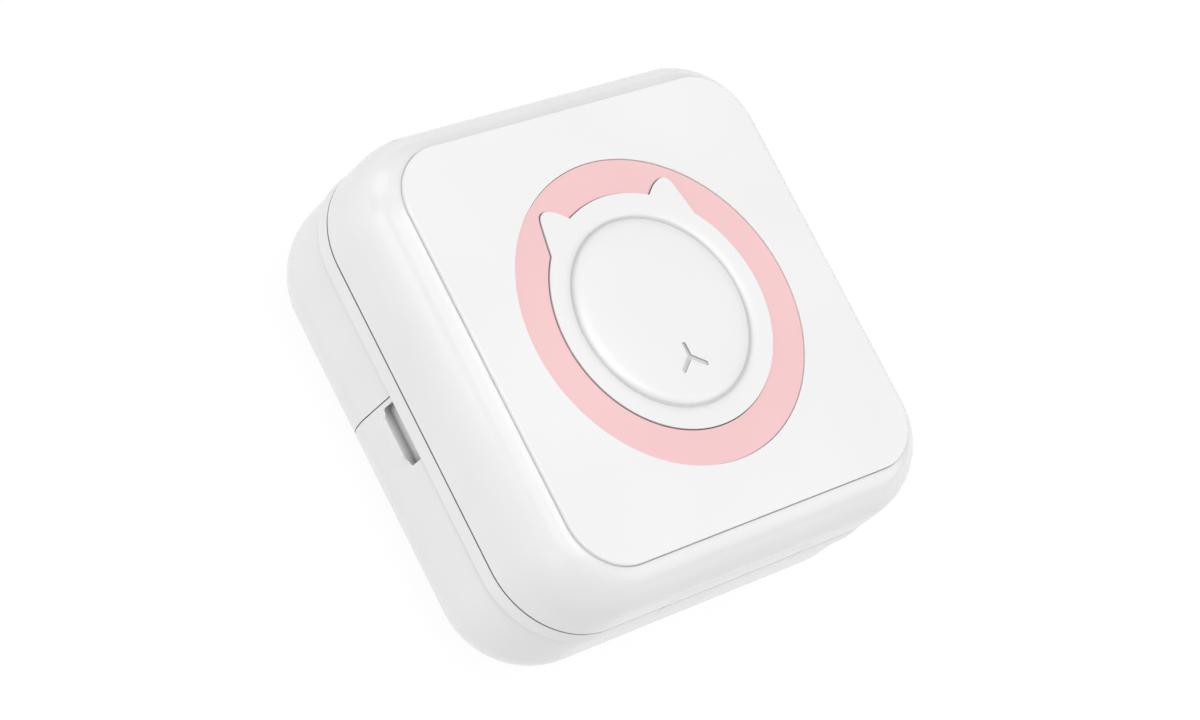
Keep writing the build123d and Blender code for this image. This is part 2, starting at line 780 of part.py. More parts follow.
# Paper cover: the hinged part of the back, with its cradle, its finger lips and its hinge
with BuildPart() as paper_cover:
    add(rear_tub(rear_inset, 0))
    add(rear_tub(rear_inset + rear_wall, rear_wall), mode=Mode.SUBTRACT)
    with BuildSketch():
        with Locations((0, cover_edge_y)):
            Rectangle(body_width * 1.2, body_length, align=(Align.CENTER, Align.MIN))
    extrude(amount=band_bottom, mode=Mode.SUBTRACT)
    with BuildSketch(Plane.XY.offset(cover_top)):
        Rectangle(body_width * 1.2, body_length * 1.2)
    extrude(amount=band_bottom, mode=Mode.SUBTRACT)
    # Cradle ribs that carry the paper roll
    for rib_x in (-0.35 * roll_width, 0.0, 0.35 * roll_width):
        with BuildSketch(Plane.YZ.offset(rib_x - cradle_rib / 2)):
            with Locations((roll_y - 0.6, rear_wall - 0.4)):
                Rectangle(2 * roll_radius - 4.0, cradle_rib_height, align=(Align.CENTER, Align.MIN))
            with Locations((roll_y, roll_height)):
                Circle(roll_radius + cradle_gap, mode=Mode.SUBTRACT)
        extrude(amount=cradle_rib)
    # Stiffening rib along the free edge
    with BuildSketch(Plane.YZ.offset(-half_width + rear_edge_radius)):
        with Locations((cover_edge_y - 3.4, rear_wall - 0.2)):
            Rectangle(cradle_rib, 2.2, align=(Align.CENTER, Align.MIN))
    extrude(amount=body_width - 2 * rear_edge_radius)
    # Hinge tongue and barrel
    wall_outside = -half_length + rear_inset
    tongue_outside = -half_length + tongue_recess
    with BuildSketch(Plane.YZ.offset(-hinge_width / 2)):
        with BuildLine():
            Polyline(
                (wall_outside + rear_wall, cover_top - 3.0),
                (wall_outside, cover_top - 3.0),
                (wall_outside, cover_top),
                (tongue_outside, cover_top + 0.25),
                (tongue_outside, hinge_height),
                (tongue_outside + tongue_thickness, hinge_height),
                (tongue_outside + tongue_thickness, cover_top + 0.25),
                close=True,
            )
        make_face()
        with Locations((hinge_y, hinge_height)):
            Circle(hinge_radius)
            Circle(hinge_pin_radius + running_gap, mode=Mode.SUBTRACT)
    extrude(amount=hinge_width)
    with BuildSketch(Plane.XY.offset(split_height - seam_gap)):
        with Locations((0, tongue_outside)):
            Rectangle(hinge_width, 0.5)
    extrude(amount=seam_gap, mode=Mode.SUBTRACT)
    # Finger recess and lip in each side wall
    for side in (1, -1):
        wall = side * (half_width - rear_inset)
        with BuildSketch(Plane.YZ.offset(wall - side * grip_depth)):
            pad_edge = cover_edge_y - grip_y
            with Locations((grip_y, cover_top)):
                Rectangle(2 * pad_edge, grip_height + 2.4, align=(Align.CENTER, Align.MAX))
        extrude(amount=-side * rear_wall)
        with BuildSketch(Plane.YZ.offset(wall - side * grip_depth)):
            with Locations((grip_y, grip_bottom)):
                RectangleRounded(grip_length, 2.5 * grip_height, grip_corner, align=(Align.CENTER, Align.MIN))
        extrude(amount=side * (grip_depth + 2.0), mode=Mode.SUBTRACT)
        with BuildSketch(Plane.XY.offset(grip_bottom)):
            with Locations((wall + side * (lip_reach - lip_root) / 2, grip_y)):
                Rectangle(lip_reach + lip_root, lip_length)
        with BuildSketch(Plane.XY.offset(grip_bottom - lip_drop)):
            with Locations((wall + side * (0.02 - lip_root) / 2, grip_y)):
                Rectangle(lip_root + 0.02, 0.7 * lip_length)
        loft()
    # Tabs beside the grips that find the slots in the deck
    with BuildSketch(Plane.XY.offset(grip_bottom)):
        with Locations(both_sides([(tab_x, grip_y)])):
            Rectangle(tab_thickness, tab_width)
    extrude(amount=band_bottom + tab_reach - grip_bottom)
    lip_edges = paper_cover.edges().filter_by_position(
        Axis.X, -half_width - 1, -half_width + rear_inset - lip_reach + 0.1
    ) + paper_cover.edges().filter_by_position(
        Axis.X, half_width - rear_inset + lip_reach - 0.1, half_width + 1
    )
    fillet(lip_edges.filter_by(Axis.Y), 0.25)
save(paper_cover.part, "paper_cover")


# Rear shell: the fixed part of the back, which holds the battery and closes the gear room
with BuildPart() as rear_shell:
    add(rear_tub(rear_inset, 0))
    add(rear_tub(rear_inset + rear_wall, rear_wall), mode=Mode.SUBTRACT)
    with BuildSketch():
        with Locations((0, rear_edge_y)):
            Rectangle(body_width * 1.2, body_length, align=(Align.CENTER, Align.MAX))
    extrude(amount=band_bottom, mode=Mode.SUBTRACT)
    # Bulkhead beside the paper bay, with two tabs that are screwed up to the deck
    with BuildPart(mode=Mode.PRIVATE) as bulkhead:
        add(rear_tub(rear_inset + rear_wall - 0.2, rear_wall - 0.2))
        with BuildSketch():
            with Locations((0, rear_edge_y)):
                Rectangle(body_width * 1.2, rear_wall, align=(Align.CENTER, Align.MIN))
        extrude(amount=band_bottom, mode=Mode.INTERSECT)
    add(bulkhead.part)
    with BuildSketch(Plane.XY.offset(band_bottom - rear_wall)):
        with Locations(both_sides([(rear_screw_place[0], bulkhead_y)])):
            tab_length = bulkhead_y - rear_screw_place[1] + boss_radius + 0.2
            Rectangle(2.5 * boss_radius, tab_length, align=(Align.CENTER, Align.MAX))
    extrude(amount=rear_wall)
    with BuildSketch(Plane.XY.offset(band_bottom - rear_wall)):
        with Locations(both_sides([rear_screw_place])):
            Circle(screw_radius + 0.2)
    extrude(amount=rear_wall, mode=Mode.SUBTRACT)
    # Dust lip that reaches under the cover's free edge
    with BuildPart(mode=Mode.PRIVATE) as dust_lip:
        add(rear_tub(rear_inset + rear_wall + 0.1, rear_wall + 0.1))
        add(rear_tub(rear_inset + rear_wall + 0.9, rear_wall + 0.9), mode=Mode.SUBTRACT)
        with BuildSketch():
            with Locations((0, rear_edge_y - 1.5)):
                Rectangle(body_width * 1.2, 2.0, align=(Align.CENTER, Align.MIN))
        extrude(amount=grip_bottom - 3.6, mode=Mode.INTERSECT)
    add(dust_lip.part)
    # Ribs that keep the battery in place
    for side in (1, -1):
        with BuildSketch(Plane.XY.offset(rear_wall - 0.2)):
            with Locations((side * (battery_width / 2 + 0.9), battery_y - 4.0)):
                Rectangle(cradle_rib, 0.4 * battery_length)
        extrude(amount=0.65 * battery_height)
save(rear_shell.part, "rear_shell")

with BuildPart() as rear_shell_screws:
    for place in both_sides([rear_screw_place]):
        add(screw(place, band_bottom - rear_wall, rear_wall + deck_thickness + 2.3, False))
save(rear_shell_screws.part, "rear_shell_screws")


with BuildPart() as hinge_pin:
    with BuildSketch(Plane.YZ.offset(-cutout_half - hinge_pin_hold)):
        with Locations((hinge_y, hinge_height)):
            Circle(hinge_pin_radius)
    extrude(amount=2 * (cutout_half + hinge_pin_hold))
save(hinge_pin.part, "hinge_pin")


# Battery pack on its foam pad
with BuildPart() as battery_pad:
    with BuildSketch(Plane.XY.offset(rear_wall)):
        with Locations((0, battery_y - 2.5)):
            Rectangle(0.84 * battery_width, 0.68 * battery_length)
    extrude(amount=battery_pad_thickness)
save(battery_pad.part, "battery_pad")

with BuildPart() as battery:
    with BuildSketch(Plane.XY.offset(rear_wall + battery_pad_thickness)):
        with Locations((0, battery_y)):
            RectangleRounded(battery_width, battery_length, 1.5)
    extrude(amount=battery_height)
    fillet(battery.faces().filter_by(Axis.Z).edges(), 1.2)
save(battery.part, "battery")


# Mechanism frame: two side plates, the paper guide, the bridge over the head and two feet
with BuildPart() as mechanism_frame:
    foot_length = 2 * boss_radius + 2.2
    plate_front = mechanism_screw_place[1] + foot_length / 2 - 0.4
    plate_back = platen_y + plate_behind_platen
    plate_top = roof_bottom - 0.3
    bridge_bottom = plate_top - bridge_thickness
    for side in (1, -1):
        with BuildSketch(Plane.YZ.offset(side * plate_inside)):
            with Locations((plate_front, deck_top)):
                Rectangle(plate_back - plate_front, plate_top - deck_top, align=(Align.MIN, Align.MIN))
            with Locations((plate_back, plate_top)):
                Rectangle(5.0, 1.8, align=(Align.MAX, Align.MAX), mode=Mode.SUBTRACT)
            if side > 0:
                with Locations((motor_y - motor_radius, motor_height - motor_radius)):
                    Rectangle(
                        reduction_y - motor_y + motor_radius + 2.5 * post_collar_radius,
                        deck_top - motor_height + motor_radius + 0.5,
                        align=(Align.MIN, Align.MIN),
                    )
            with Locations((platen_y, platen_height)):
                Circle(bush_radius, mode=Mode.SUBTRACT)
        extrude(amount=side * plate_thickness)
    with BuildSketch(Plane.YZ.offset(-plate_inside)):
        guide_end = platen_y - platen_radius - 0.6
        with BuildLine():
            Polyline(
                (roll_y + bay_outer_radius + 2.4, platen_height - 0.3),
                (roll_y + bay_outer_radius + 2.4, platen_height + 0.9),
                (guide_end, paper_line - 0.5),
                (guide_end, paper_line - 1.7),
                close=True,
            )
        make_face()
        with Locations((platen_y, (bridge_bottom + plate_top) / 2)):
            Rectangle(bridge_depth, bridge_thickness)
    extrude(amount=2 * plate_inside)
    for side in (1, -1):
        with BuildSketch(Plane.XY.offset(deck_top)):
            with Locations((side * plate_outside, mechanism_screw_place[1])):
                foot_width = plate_outside - mechanism_screw_place[0] + boss_radius
                align = Align.MAX if side > 0 else Align.MIN
                Rectangle(foot_width, foot_length, align=(align, Align.CENTER))
            with Locations((side * mechanism_screw_place[0], mechanism_screw_place[1])):
                Circle(screw_radius + 0.1, mode=Mode.SUBTRACT)
        extrude(amount=foot_thickness)
    # Motor shaft hole, reduction post hole and trunnion seats of the head
    with BuildSketch(Plane.YZ.offset(plate_inside)):
        with Locations((motor_y, motor_height)):
            Circle(motor_shaft_radius + 0.6)
        with Locations((reduction_y, reduction_height)):
            Circle(post_radius)
    extrude(amount=plate_thickness, mode=Mode.SUBTRACT)
    trunnion_y = platen_y + 4.6
    trunnion_height = paper_line + paper_gap + head_thickness + sink_thickness / 2
    with BuildSketch(Plane.YZ.offset(-plate_outside)):
        with Locations((trunnion_y, trunnion_height)):
            Circle(trunnion_radius + running_gap)
    extrude(amount=2 * plate_outside, mode=Mode.SUBTRACT)
save(mechanism_frame.part, "mechanism_frame")

with BuildPart() as mechanism_screws:
    for place in both_sides([mechanism_screw_place]):
        add(screw(place, deck_top + foot_thickness, foot_thickness + deck_thickness + 2.6, True))
save(mechanism_screws.part, "mechanism_screws")


# Platen: a steel shaft in two bushes, with its rubber roller and its gear
with BuildPart() as platen_bushes:
    for side in (1, -1):
        with BuildSketch(Plane.YZ.offset(side * plate_inside)):
            with Locations((platen_y, platen_height)):
                Circle(bush_radius)
                Circle(shaft_radius + running_gap, mode=Mode.SUBTRACT)
        extrude(amount=side * (plate_thickness + bush_flange))
save(platen_bushes.part, "platen_bushes")

with BuildPart() as platen_shaft:
    with BuildSketch(Plane.YZ.offset(-plate_outside - 0.6)):
        with Locations((platen_y, platen_height)):
            Circle(shaft_radius)
    extrude(amount=plate_outside + 0.6 + platen_gear_start + gear_width + 0.4)
    with BuildSketch(Plane.YZ.offset(-platen_length / 2)):
        with Locations((platen_y, platen_height)):
            Circle(platen_core_radius)
    extrude(amount=platen_length)
save(platen_shaft.part, "platen_shaft")

with BuildPart() as platen_roller:
    with BuildSketch(Plane.YZ.offset(-platen_length / 2)):
        with Locations((platen_y, platen_height)):
            Circle(platen_radius)
            Circle(platen_core_radius, mode=Mode.SUBTRACT)
    extrude(amount=platen_length)
save(platen_roller.part, "platen_roller")

with BuildPart() as platen_gear:
    with BuildSketch(Plane.YZ.offset(platen_gear_start)):
        with Locations((platen_y, platen_height)):
            add(gear_outline(coarse_module, platen_teeth, angle_platen_to_small))
            Circle(shaft_radius, mode=Mode.SUBTRACT)
    extrude(amount=gear_width)
save(platen_gear.part, "platen_gear")


# Reduction gear: a wheel and a small gear in one moulding, turning on a steel post
with BuildPart() as reduction_gear:
    with BuildSketch(Plane.YZ.offset(wheel_start)):
        with Locations((reduction_y, reduction_height)):
            add(gear_outline(fine_module, wheel_teeth, angle_wheel_to_pinion))
    extrude(amount=gear_width)
    small_turn = angle_platen_to_small + 180 + 180 / small_teeth
    with BuildSketch(Plane.YZ.offset(small_start)):
        with Locations((reduction_y, reduction_height)):
            add(gear_outline(coarse_module, small_teeth, small_turn))
    extrude(amount=gear_width + gear_gap)
    with BuildSketch(Plane.YZ.offset(wheel_start)):
        with Locations((reduction_y, reduction_height)):
            Circle(post_radius + running_gap)
    extrude(amount=2 * gear_width + gear_gap, mode=Mode.SUBTRACT)
save(reduction_gear.part, "reduction_gear")

with BuildPart() as gear_post:
    with BuildSketch(Plane.YZ.offset(plate_inside)):
        with Locations((reduction_y, reduction_height)):
            Circle(post_radius)
    extrude(amount=post_end - plate_inside)
    gear_end = platen_gear_start + gear_width
    for start, end in ((plate_outside, wheel_start - 0.1), (gear_end + 0.1, post_end)):
        with BuildSketch(Plane.YZ.offset(start)):
            with Locations((reduction_y, reduction_height)):
                Circle(post_collar_radius)
        extrude(amount=end - start)
save(gear_post.part, "gear_post")


# Stepping motor: a can with a round end boss, its shaft and its pinion
with BuildPart() as stepper_motor:
    with BuildSketch(Plane.YZ.offset(plate_inside - motor_length)):
        with Locations((motor_y, motor_height)):
            Circle(motor_radius)
    extrude(amount=motor_length)
    chamfer(stepper_motor.edges().filter_by(GeomType.CIRCLE), 0.4)
    with BuildSketch(Plane.YZ.offset(plate_inside - 4.0)):
        with Locations((motor_y, motor_height)):
            Circle(motor_shaft_radius + running_gap)
    extrude(amount=4.0, mode=Mode.SUBTRACT)
save(stepper_motor.part, "stepper_motor")

with BuildPart() as motor_shaft:
    with BuildSketch(Plane.YZ.offset(plate_inside - 3.6)):
        with Locations((motor_y, motor_height)):
            Circle(motor_shaft_radius)
    extrude(amount=wheel_start + gear_width + 3.6 - plate_inside)
save(motor_shaft.part, "motor_shaft")

with BuildPart() as motor_pinion:
    pinion_turn = angle_wheel_to_pinion + 180 + 180 / pinion_teeth
    with BuildSketch(Plane.YZ.offset(wheel_start - 0.2)):
        with Locations((motor_y, motor_height)):
            add(gear_outline(fine_module, pinion_teeth, pinion_turn))
            Circle(motor_shaft_radius, mode=Mode.SUBTRACT)
    extrude(amount=gear_width + 0.2)
save(motor_pinion.part, "motor_pinion")


# Thermal head on its heat sink, pressed down by two leaf springs under the bridge
head_bottom = paper_line + paper_gap
sink_bottom = head_bottom + head_thickness
sink_top = sink_bottom + sink_thickness
with BuildPart() as thermal_head:
    with BuildSketch(Plane.XY.offset(head_bottom)):
        with Locations((0, platen_y)):
            Rectangle(platen_length, 2 * platen_radius)
    extrude(amount=head_thickness)
save(thermal_head.part, "thermal_head")

with BuildPart() as head_heat_sink:
    with BuildSketch(Plane.XY.offset(sink_bottom)):
        with Locations((0, platen_y + 0.6)):
            Rectangle(2 * plate_inside - plate_end_gap, sink_depth)
    extrude(amount=sink_top - sink_bottom)
    with BuildSketch(Plane.YZ.offset(-plate_outside)):
        with Locations((trunnion_y, trunnion_height)):
            Circle(trunnion_radius)
    extrude(amount=2 * plate_outside)
save(head_heat_sink.part, "head_heat_sink")

with BuildPart() as head_springs:
    leaf_crown = bridge_bottom - leaf_thickness
    leaf_end = sink_top + leaf_thickness
    for x in (-leaf_place, leaf_place):
        left = x - leaf_half_span
        right = x + leaf_half_span
        with BuildSketch(Plane.XZ.offset(-platen_y + leaf_width / 2)):
            with BuildLine():
                lower = ThreePointArc((left, sink_top), (x, leaf_crown), (right, sink_top))
                upper = ThreePointArc((left, leaf_end), (x, bridge_bottom), (right, leaf_end))
                Line(lower @ 0, upper @ 0)
                Line(lower @ 1, upper @ 1)
            make_face()
        extrude(amount=-leaf_width)
save(head_springs.part, "head_springs")


# Tear bar: a steel strip over the paper slot with a row of small teeth
with BuildPart() as tear_bar:
    tooth_count = int(2 * slot_half / tooth_pitch)
    bar_half = tooth_count * tooth_pitch / 2
    bar_edge = half_length - 1.5
    with BuildSketch(Plane.XY.offset(slot_top)):
        with Locations((0, bar_edge)):
            Rectangle(2 * bar_half, tear_bar_depth, align=(Align.CENTER, Align.MAX))
        with Locations([((k + 0.5) * tooth_pitch - bar_half, bar_edge) for k in range(tooth_count)]):
            half_tooth = tooth_pitch / 2
            Polygon(
                (-half_tooth, -0.2),
                (half_tooth, -0.2),
                (half_tooth, 0),
                (0, tooth_height),
                (-half_tooth, 0),
                align=None,
            )
    extrude(amount=tear_bar_thickness)
save(tear_bar.part, "tear_bar")


# Paper sensor under the board, looking down at the paper
with BuildPart() as paper_sensor:
    with BuildSketch(Plane.XY.offset(board_bottom)):
        with Locations((8.0, board_y + board_length / 2 - 3.0)):
            Rectangle(3.2, 2.7)
    extrude(amount=-1.4)
save(paper_sensor.part, "paper_sensor")


# Paper roll on its core
with BuildPart() as paper_roll:
    with BuildSketch(Plane.YZ.offset(-roll_width / 2)):
        with Locations((roll_y, roll_height)):
            Circle(roll_radius)
            Circle(core_radius, mode=Mode.SUBTRACT)
    extrude(amount=roll_width)
save(paper_roll.part, "paper_roll")

with BuildPart() as roll_core:
    with BuildSketch(Plane.YZ.offset(-roll_width / 2)):
        with Locations((roll_y, roll_height)):
            Circle(core_radius)
            Circle(core_radius - core_wall, mode=Mode.SUBTRACT)
    extrude(amount=roll_width)
save(roll_core.part, "roll_core")
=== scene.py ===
# %% [markdown]
# # A pocket printer, dressed for its picture
#
# The printer is white moulded plastic with one pale pink ring. Its character lies in large soft
# forms and very fine seams, so the outer mouldings are modelled again here as smooth meshes, while
# the machinery inside keeps its CAD solids. The order is camera, tools, mouldings, finishes, light.

import json
from math import acos, cos, hypot, pi, radians, sin

import bmesh
import bpy
from mathutils import Matrix, Vector

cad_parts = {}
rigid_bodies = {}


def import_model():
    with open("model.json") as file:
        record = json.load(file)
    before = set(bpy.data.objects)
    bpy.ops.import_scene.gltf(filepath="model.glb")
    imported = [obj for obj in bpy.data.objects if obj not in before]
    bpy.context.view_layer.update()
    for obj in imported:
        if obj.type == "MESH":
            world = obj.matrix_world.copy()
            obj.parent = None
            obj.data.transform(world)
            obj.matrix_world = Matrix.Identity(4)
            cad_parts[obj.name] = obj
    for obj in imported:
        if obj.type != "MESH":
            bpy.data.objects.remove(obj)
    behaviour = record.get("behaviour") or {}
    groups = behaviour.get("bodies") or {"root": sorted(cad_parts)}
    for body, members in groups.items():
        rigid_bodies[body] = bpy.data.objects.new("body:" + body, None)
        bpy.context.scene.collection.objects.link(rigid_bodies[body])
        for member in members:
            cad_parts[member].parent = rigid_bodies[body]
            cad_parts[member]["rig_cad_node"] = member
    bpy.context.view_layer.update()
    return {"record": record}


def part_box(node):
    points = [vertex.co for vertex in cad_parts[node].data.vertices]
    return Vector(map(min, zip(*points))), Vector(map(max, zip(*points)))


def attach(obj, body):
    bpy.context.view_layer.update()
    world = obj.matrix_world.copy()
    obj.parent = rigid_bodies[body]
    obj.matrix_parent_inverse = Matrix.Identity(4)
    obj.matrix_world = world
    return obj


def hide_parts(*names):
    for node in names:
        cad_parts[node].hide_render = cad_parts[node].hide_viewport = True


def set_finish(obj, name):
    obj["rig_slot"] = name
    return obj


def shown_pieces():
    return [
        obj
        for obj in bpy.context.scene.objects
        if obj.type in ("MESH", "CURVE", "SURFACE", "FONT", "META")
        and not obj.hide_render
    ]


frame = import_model()

# %% [markdown]
# ## Camera
#
# A camera is found by trying which place makes the straight seams of the object meet their pictures.
# Here the view is a long lens from the upper left, rolled so that the printer seems to stand on a
# corner. The lens is 103.5 mm on a 36 mm sensor, a little over half a metre away.

# %% Place the camera
bpy.ops.object.select_all(action="DESELECT")
camera_place = Vector((-0.35701, -0.10258, 0.44952))
camera_right = Vector((0.7359, -0.4500, 0.5059))
camera_down = Vector((-0.2481, -0.8744, -0.4170))
camera_ahead = Vector((0.6300, 0.1814, -0.7551))
sensor_width = 36.0
lens_length = 103.53
bpy.ops.object.camera_add()
camera = bpy.context.object
turn = Matrix((camera_right, -camera_down, -camera_ahead)).transposed()
camera.matrix_world = Matrix.Translation(camera_place) @ turn.to_4x4()
camera.data.sensor_width = sensor_width
camera.data.lens = lens_length
camera.data.clip_start = 0.01
bpy.context.scene.camera = camera
print("camera", round(camera_place.length * 1000), "mm from the middle of the back")

# %% [markdown]
# ## Working tools
#
# Small mouldings are easier to think about in millimetres, so every new piece is modelled at a
# thousand times its size and shrunk once, at the end. The helpers wrap what a modeller does by hand:
# pick faces or edges, take a face through small insets, cut one block out of another, and round an
# edge. Faces and edges are picked by where they are, so a changed size still finds them.

# %% Pick and settle
MM = 0.001


def work_on(piece):
    """Make one piece active and the only one selected."""
    if bpy.context.object and bpy.context.object.mode != "OBJECT":
        bpy.ops.object.mode_set(mode="OBJECT")
    bpy.ops.object.select_all(action="DESELECT")
    bpy.context.view_layer.objects.active = piece
    piece.select_set(True)


def pick(piece, kind, test):
    """Open a piece in edit mode with the corners, edges or faces that pass a test selected."""
    work_on(piece)
    bpy.ops.object.mode_set(mode="EDIT")
    bpy.ops.mesh.select_mode(type=kind)
    bpy.ops.mesh.select_all(action="DESELECT")
    mesh = bmesh.from_edit_mesh(piece.data)
    parts = {"VERT": mesh.verts, "EDGE": mesh.edges, "FACE": mesh.faces}[kind]
    found = [part for part in parts if test(part)]
    for part in found:
        part.select_set(True)
    bmesh.update_edit_mesh(piece.data)
    return len(found)


def done():
    """Leave edit mode with nothing selected."""
    bpy.ops.object.mode_set(mode="OBJECT")
    bpy.ops.object.select_all(action="DESELECT")


def added(name):
    """Name the primitive that was just added and settle its place in its mesh."""
    piece = bpy.context.object
    work_on(piece)
    bpy.ops.object.transform_apply(location=True, rotation=True, scale=True)
    piece.name = name
    return piece


def near(one, other, slack=0.001):
    """Whether two lengths are the same but for a hair."""
    return abs(one - other) < slack


# %% Blocks, rods and flat plates with round corners
def block(low, high, name="block"):
    """A box between two corners."""
    size = [b - a for a, b in zip(low, high)]
    middle = [(a + b) / 2 for a, b in zip(low, high)]
    bpy.ops.mesh.primitive_cube_add(size=1, location=middle, scale=size)
    return added(name)


def side_block(side, inner, outer, low, high):
    """A box on the right or left side, between two distances from the middle and two (y, z) corners."""
    reach = sorted((side * inner, side * outer))
    return block((reach[0], *low), (reach[1], *high))


AXES = {"X": Vector((1, 0, 0)), "Z": Vector((0, 0, 1))}
TURNS = {"X": (0, pi / 2, 0), "Z": (0, 0, 0)}


def rod(radius, start, length, axis="Z", sides=96, name="rod"):
    """A round rod from its start point along an axis."""
    middle = Vector(start) + AXES[axis] * length / 2
    bpy.ops.mesh.primitive_cylinder_add(
        vertices=sides, radius=radius, depth=length, location=middle, rotation=TURNS[axis]
    )
    return added(name)


def rounded_plate(width, length, radius, height, steps=24, name="plate"):
    """A flat face with round corners, facing up."""
    bpy.ops.mesh.primitive_plane_add(size=1, location=(0, 0, height))
    bpy.context.object.scale = (width, length, 1)
    plate = added(name)
    pick(plate, "VERT", lambda corner: True)
    bpy.ops.mesh.bevel(offset=radius, segments=steps, affect="VERTICES")
    done()
    return plate


# %% Raise a form from its outline
def raise_form(plate, steps):
    """Take a flat face through steps of (inwards, upwards), so that it becomes a closed form."""
    pick(plate, "FACE", lambda face: True)
    bpy.ops.mesh.extrude_region_move(TRANSFORM_OT_translate={"value": (0, 0, steps[0][1])})
    for inwards, upwards in steps[1:]:
        bpy.ops.mesh.inset(thickness=inwards, depth=upwards, use_even_offset=True)
    done()
    return plate


def quarter_steps(inwards, upwards, count, end=pi / 2):
    """Steps along part of an oval, from an upright wall towards a flat top."""
    angles = [end * k / count for k in range(count + 1)]
    return [
        (inwards * (cos(a) - cos(b)), upwards * (sin(b) - sin(a))) for a, b in zip(angles, angles[1:])
    ]


# %% Cut, join, trim and round
def combine(piece, other, operation="DIFFERENCE"):
    """Cut one piece out of another, or join or cross them, and use the other one up."""
    work_on(piece)
    step = piece.modifiers.new("Combine", "BOOLEAN")
    step.operation = operation
    step.solver = "EXACT"
    step.object = other
    bpy.ops.object.modifier_apply(modifier=step.name)
    bpy.data.objects.remove(other)
    return piece


def trim(piece, place, normal):
    """Saw off what lies beyond a plane and close the cut."""
    pick(piece, "FACE", lambda face: True)
    bpy.ops.mesh.bisect(
        plane_co=place, plane_no=normal, use_fill=True, clear_outer=True, threshold=0.0001
    )
    done()
    return piece


def round_edges(piece, width, test, segments=3):
    """Round the edges whose middle and angle pass a test."""
    found = pick(piece, "EDGE", lambda edge: test((edge.verts[0].co + edge.verts[1].co) / 2, edge))
    if found:
        bpy.ops.mesh.bevel(offset=width, segments=segments, profile=0.5, clamp_overlap=True)
    done()
    return found


def sharp(edge, least=40):
    """Whether the two faces at an edge meet at an angle."""
    return len(edge.link_faces) == 2 and edge.calc_face_angle(0) > radians(least)


def runs_across(edge):
    """Whether an edge runs from the middle towards a side wall."""
    return abs(edge.verts[0].co.x - edge.verts[1].co.x) > 1


def turn_over(piece, height):
    """Mirror a form that was raised from zero, so that it hangs down from a height."""
    work_on(piece)
    piece.scale = (1, 1, -1)
    piece.location = (0, 0, height)
    bpy.ops.object.transform_apply(location=True, rotation=True, scale=True)
    pick(piece, "FACE", lambda face: True)
    bpy.ops.mesh.normals_make_consistent(inside=False)
    done()
    return piece


# %% Hand a finished piece over
smooth_below = 32
flat_face_weight = 60


def hand_over(piece, body, slot, *replaced):
    """Shrink a finished piece to metres, give it its body and its finish, and hide the solids it stands for."""
    work_on(piece)
    piece.scale = (MM, MM, MM)
    bpy.ops.object.transform_apply(location=True, rotation=True, scale=True)
    bpy.ops.object.shade_smooth_by_angle(angle=radians(smooth_below))
    even = piece.modifiers.new("Even shading", "WEIGHTED_NORMAL")
    even.keep_sharp = True
    even.weight = flat_face_weight
    bpy.ops.object.modifier_apply(modifier=even.name)
    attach(piece, body)
    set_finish(piece, slot)
    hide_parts(*replaced)
    bpy.ops.object.select_all(action="DESELECT")
    print(piece.name, len(piece.data.polygons), "faces")
    return piece


# %% [markdown]
# ## The main sizes
#
# The widths and heights come from the solids, so that a seam drawn here meets the same seam there.
# What their boxes don't say is a named size in millimetres. All outer mouldings share one outline,
# a square with round corners, so one function draws it with any inset.

# %% Sizes of the outer form
def box_mm(node):
    """Lowest and highest corner of a solid, in millimetres."""
    low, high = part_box(node)
    return low / MM, high / MM


rear_low, rear_high = box_mm("rear_shell")
frame_low, frame_high = box_mm("middle_frame")
panel_low, panel_high = box_mm("face_panel")
ring_low, ring_high = box_mm("accent_ring")
body_width = frame_high.x - frame_low.x
body_length = frame_high.y - frame_low.y
half_width = body_width / 2
half_length = body_length / 2
corner_radius = 15.4

band_bottom = rear_high.z
band_height = 2.9
band_lean = 0.25
split_height = band_bottom + band_height
seam_gap = 0.25
seam_depth = 0.4

panel_floor = panel_low.z
panel_top = panel_high.z
front_top = panel_top - 0.3
roof_bottom = front_top - 3.0
deck_top = band_bottom + 1.5
past = 1.0
print("body", round(body_width, 2), "by", round(body_length, 2), "band at", round(band_bottom, 2))


def outline(inset, height, name="plate"):
    """The body's outline as a flat face, drawn in by an inset."""
    return rounded_plate(
        body_width - 2 * inset, body_length - 2 * inset, corner_radius - inset, height, name=name
    )


# %% [markdown]
# ## Front moulding
#
# The front moulding is an injection-moulded shell: a slightly tapering wall, then a wide oval edge
# that runs up to the flat panel. A box with a bevel would give a round edge of one radius. Here the
# outline is raised in small inset steps along a quarter of an oval instead, which keeps the corners
# true and gives clean rows of four-sided faces for the reflections to run along.

# %% Raise the outer form
foot_height = 0.3
front_draft = 0.1
front_edge_in = 7.1
front_edge_down = 9.7
pocket_gap = 0.05
pocket_half = (panel_high.x - panel_low.x) / 2 + pocket_gap
edge_start = front_top - front_edge_down
edge_end = acos(1 - (half_width - band_lean - front_draft - pocket_half) / front_edge_in)
edge_top = edge_start + front_edge_down * sin(edge_end)
pocket_round = 0.07
lower_rim_round = 0.18

front = outline(band_lean, split_height, "front_moulding")
steps = [(0, foot_height), (front_draft, edge_start - split_height - foot_height)]
raise_form(front, steps + quarter_steps(front_edge_in, front_edge_down, 20, edge_end))
pick(front, "FACE", lambda face: face.calc_center_median().z > edge_top - 0.001)
bpy.ops.mesh.inset(thickness=0, depth=panel_floor - edge_top)
done()
round_edges(front, pocket_round, lambda at, edge: near(at.z, edge_top) and sharp(edge))
round_edges(front, lower_rim_round, lambda at, edge: near(at.z, split_height) and sharp(edge))

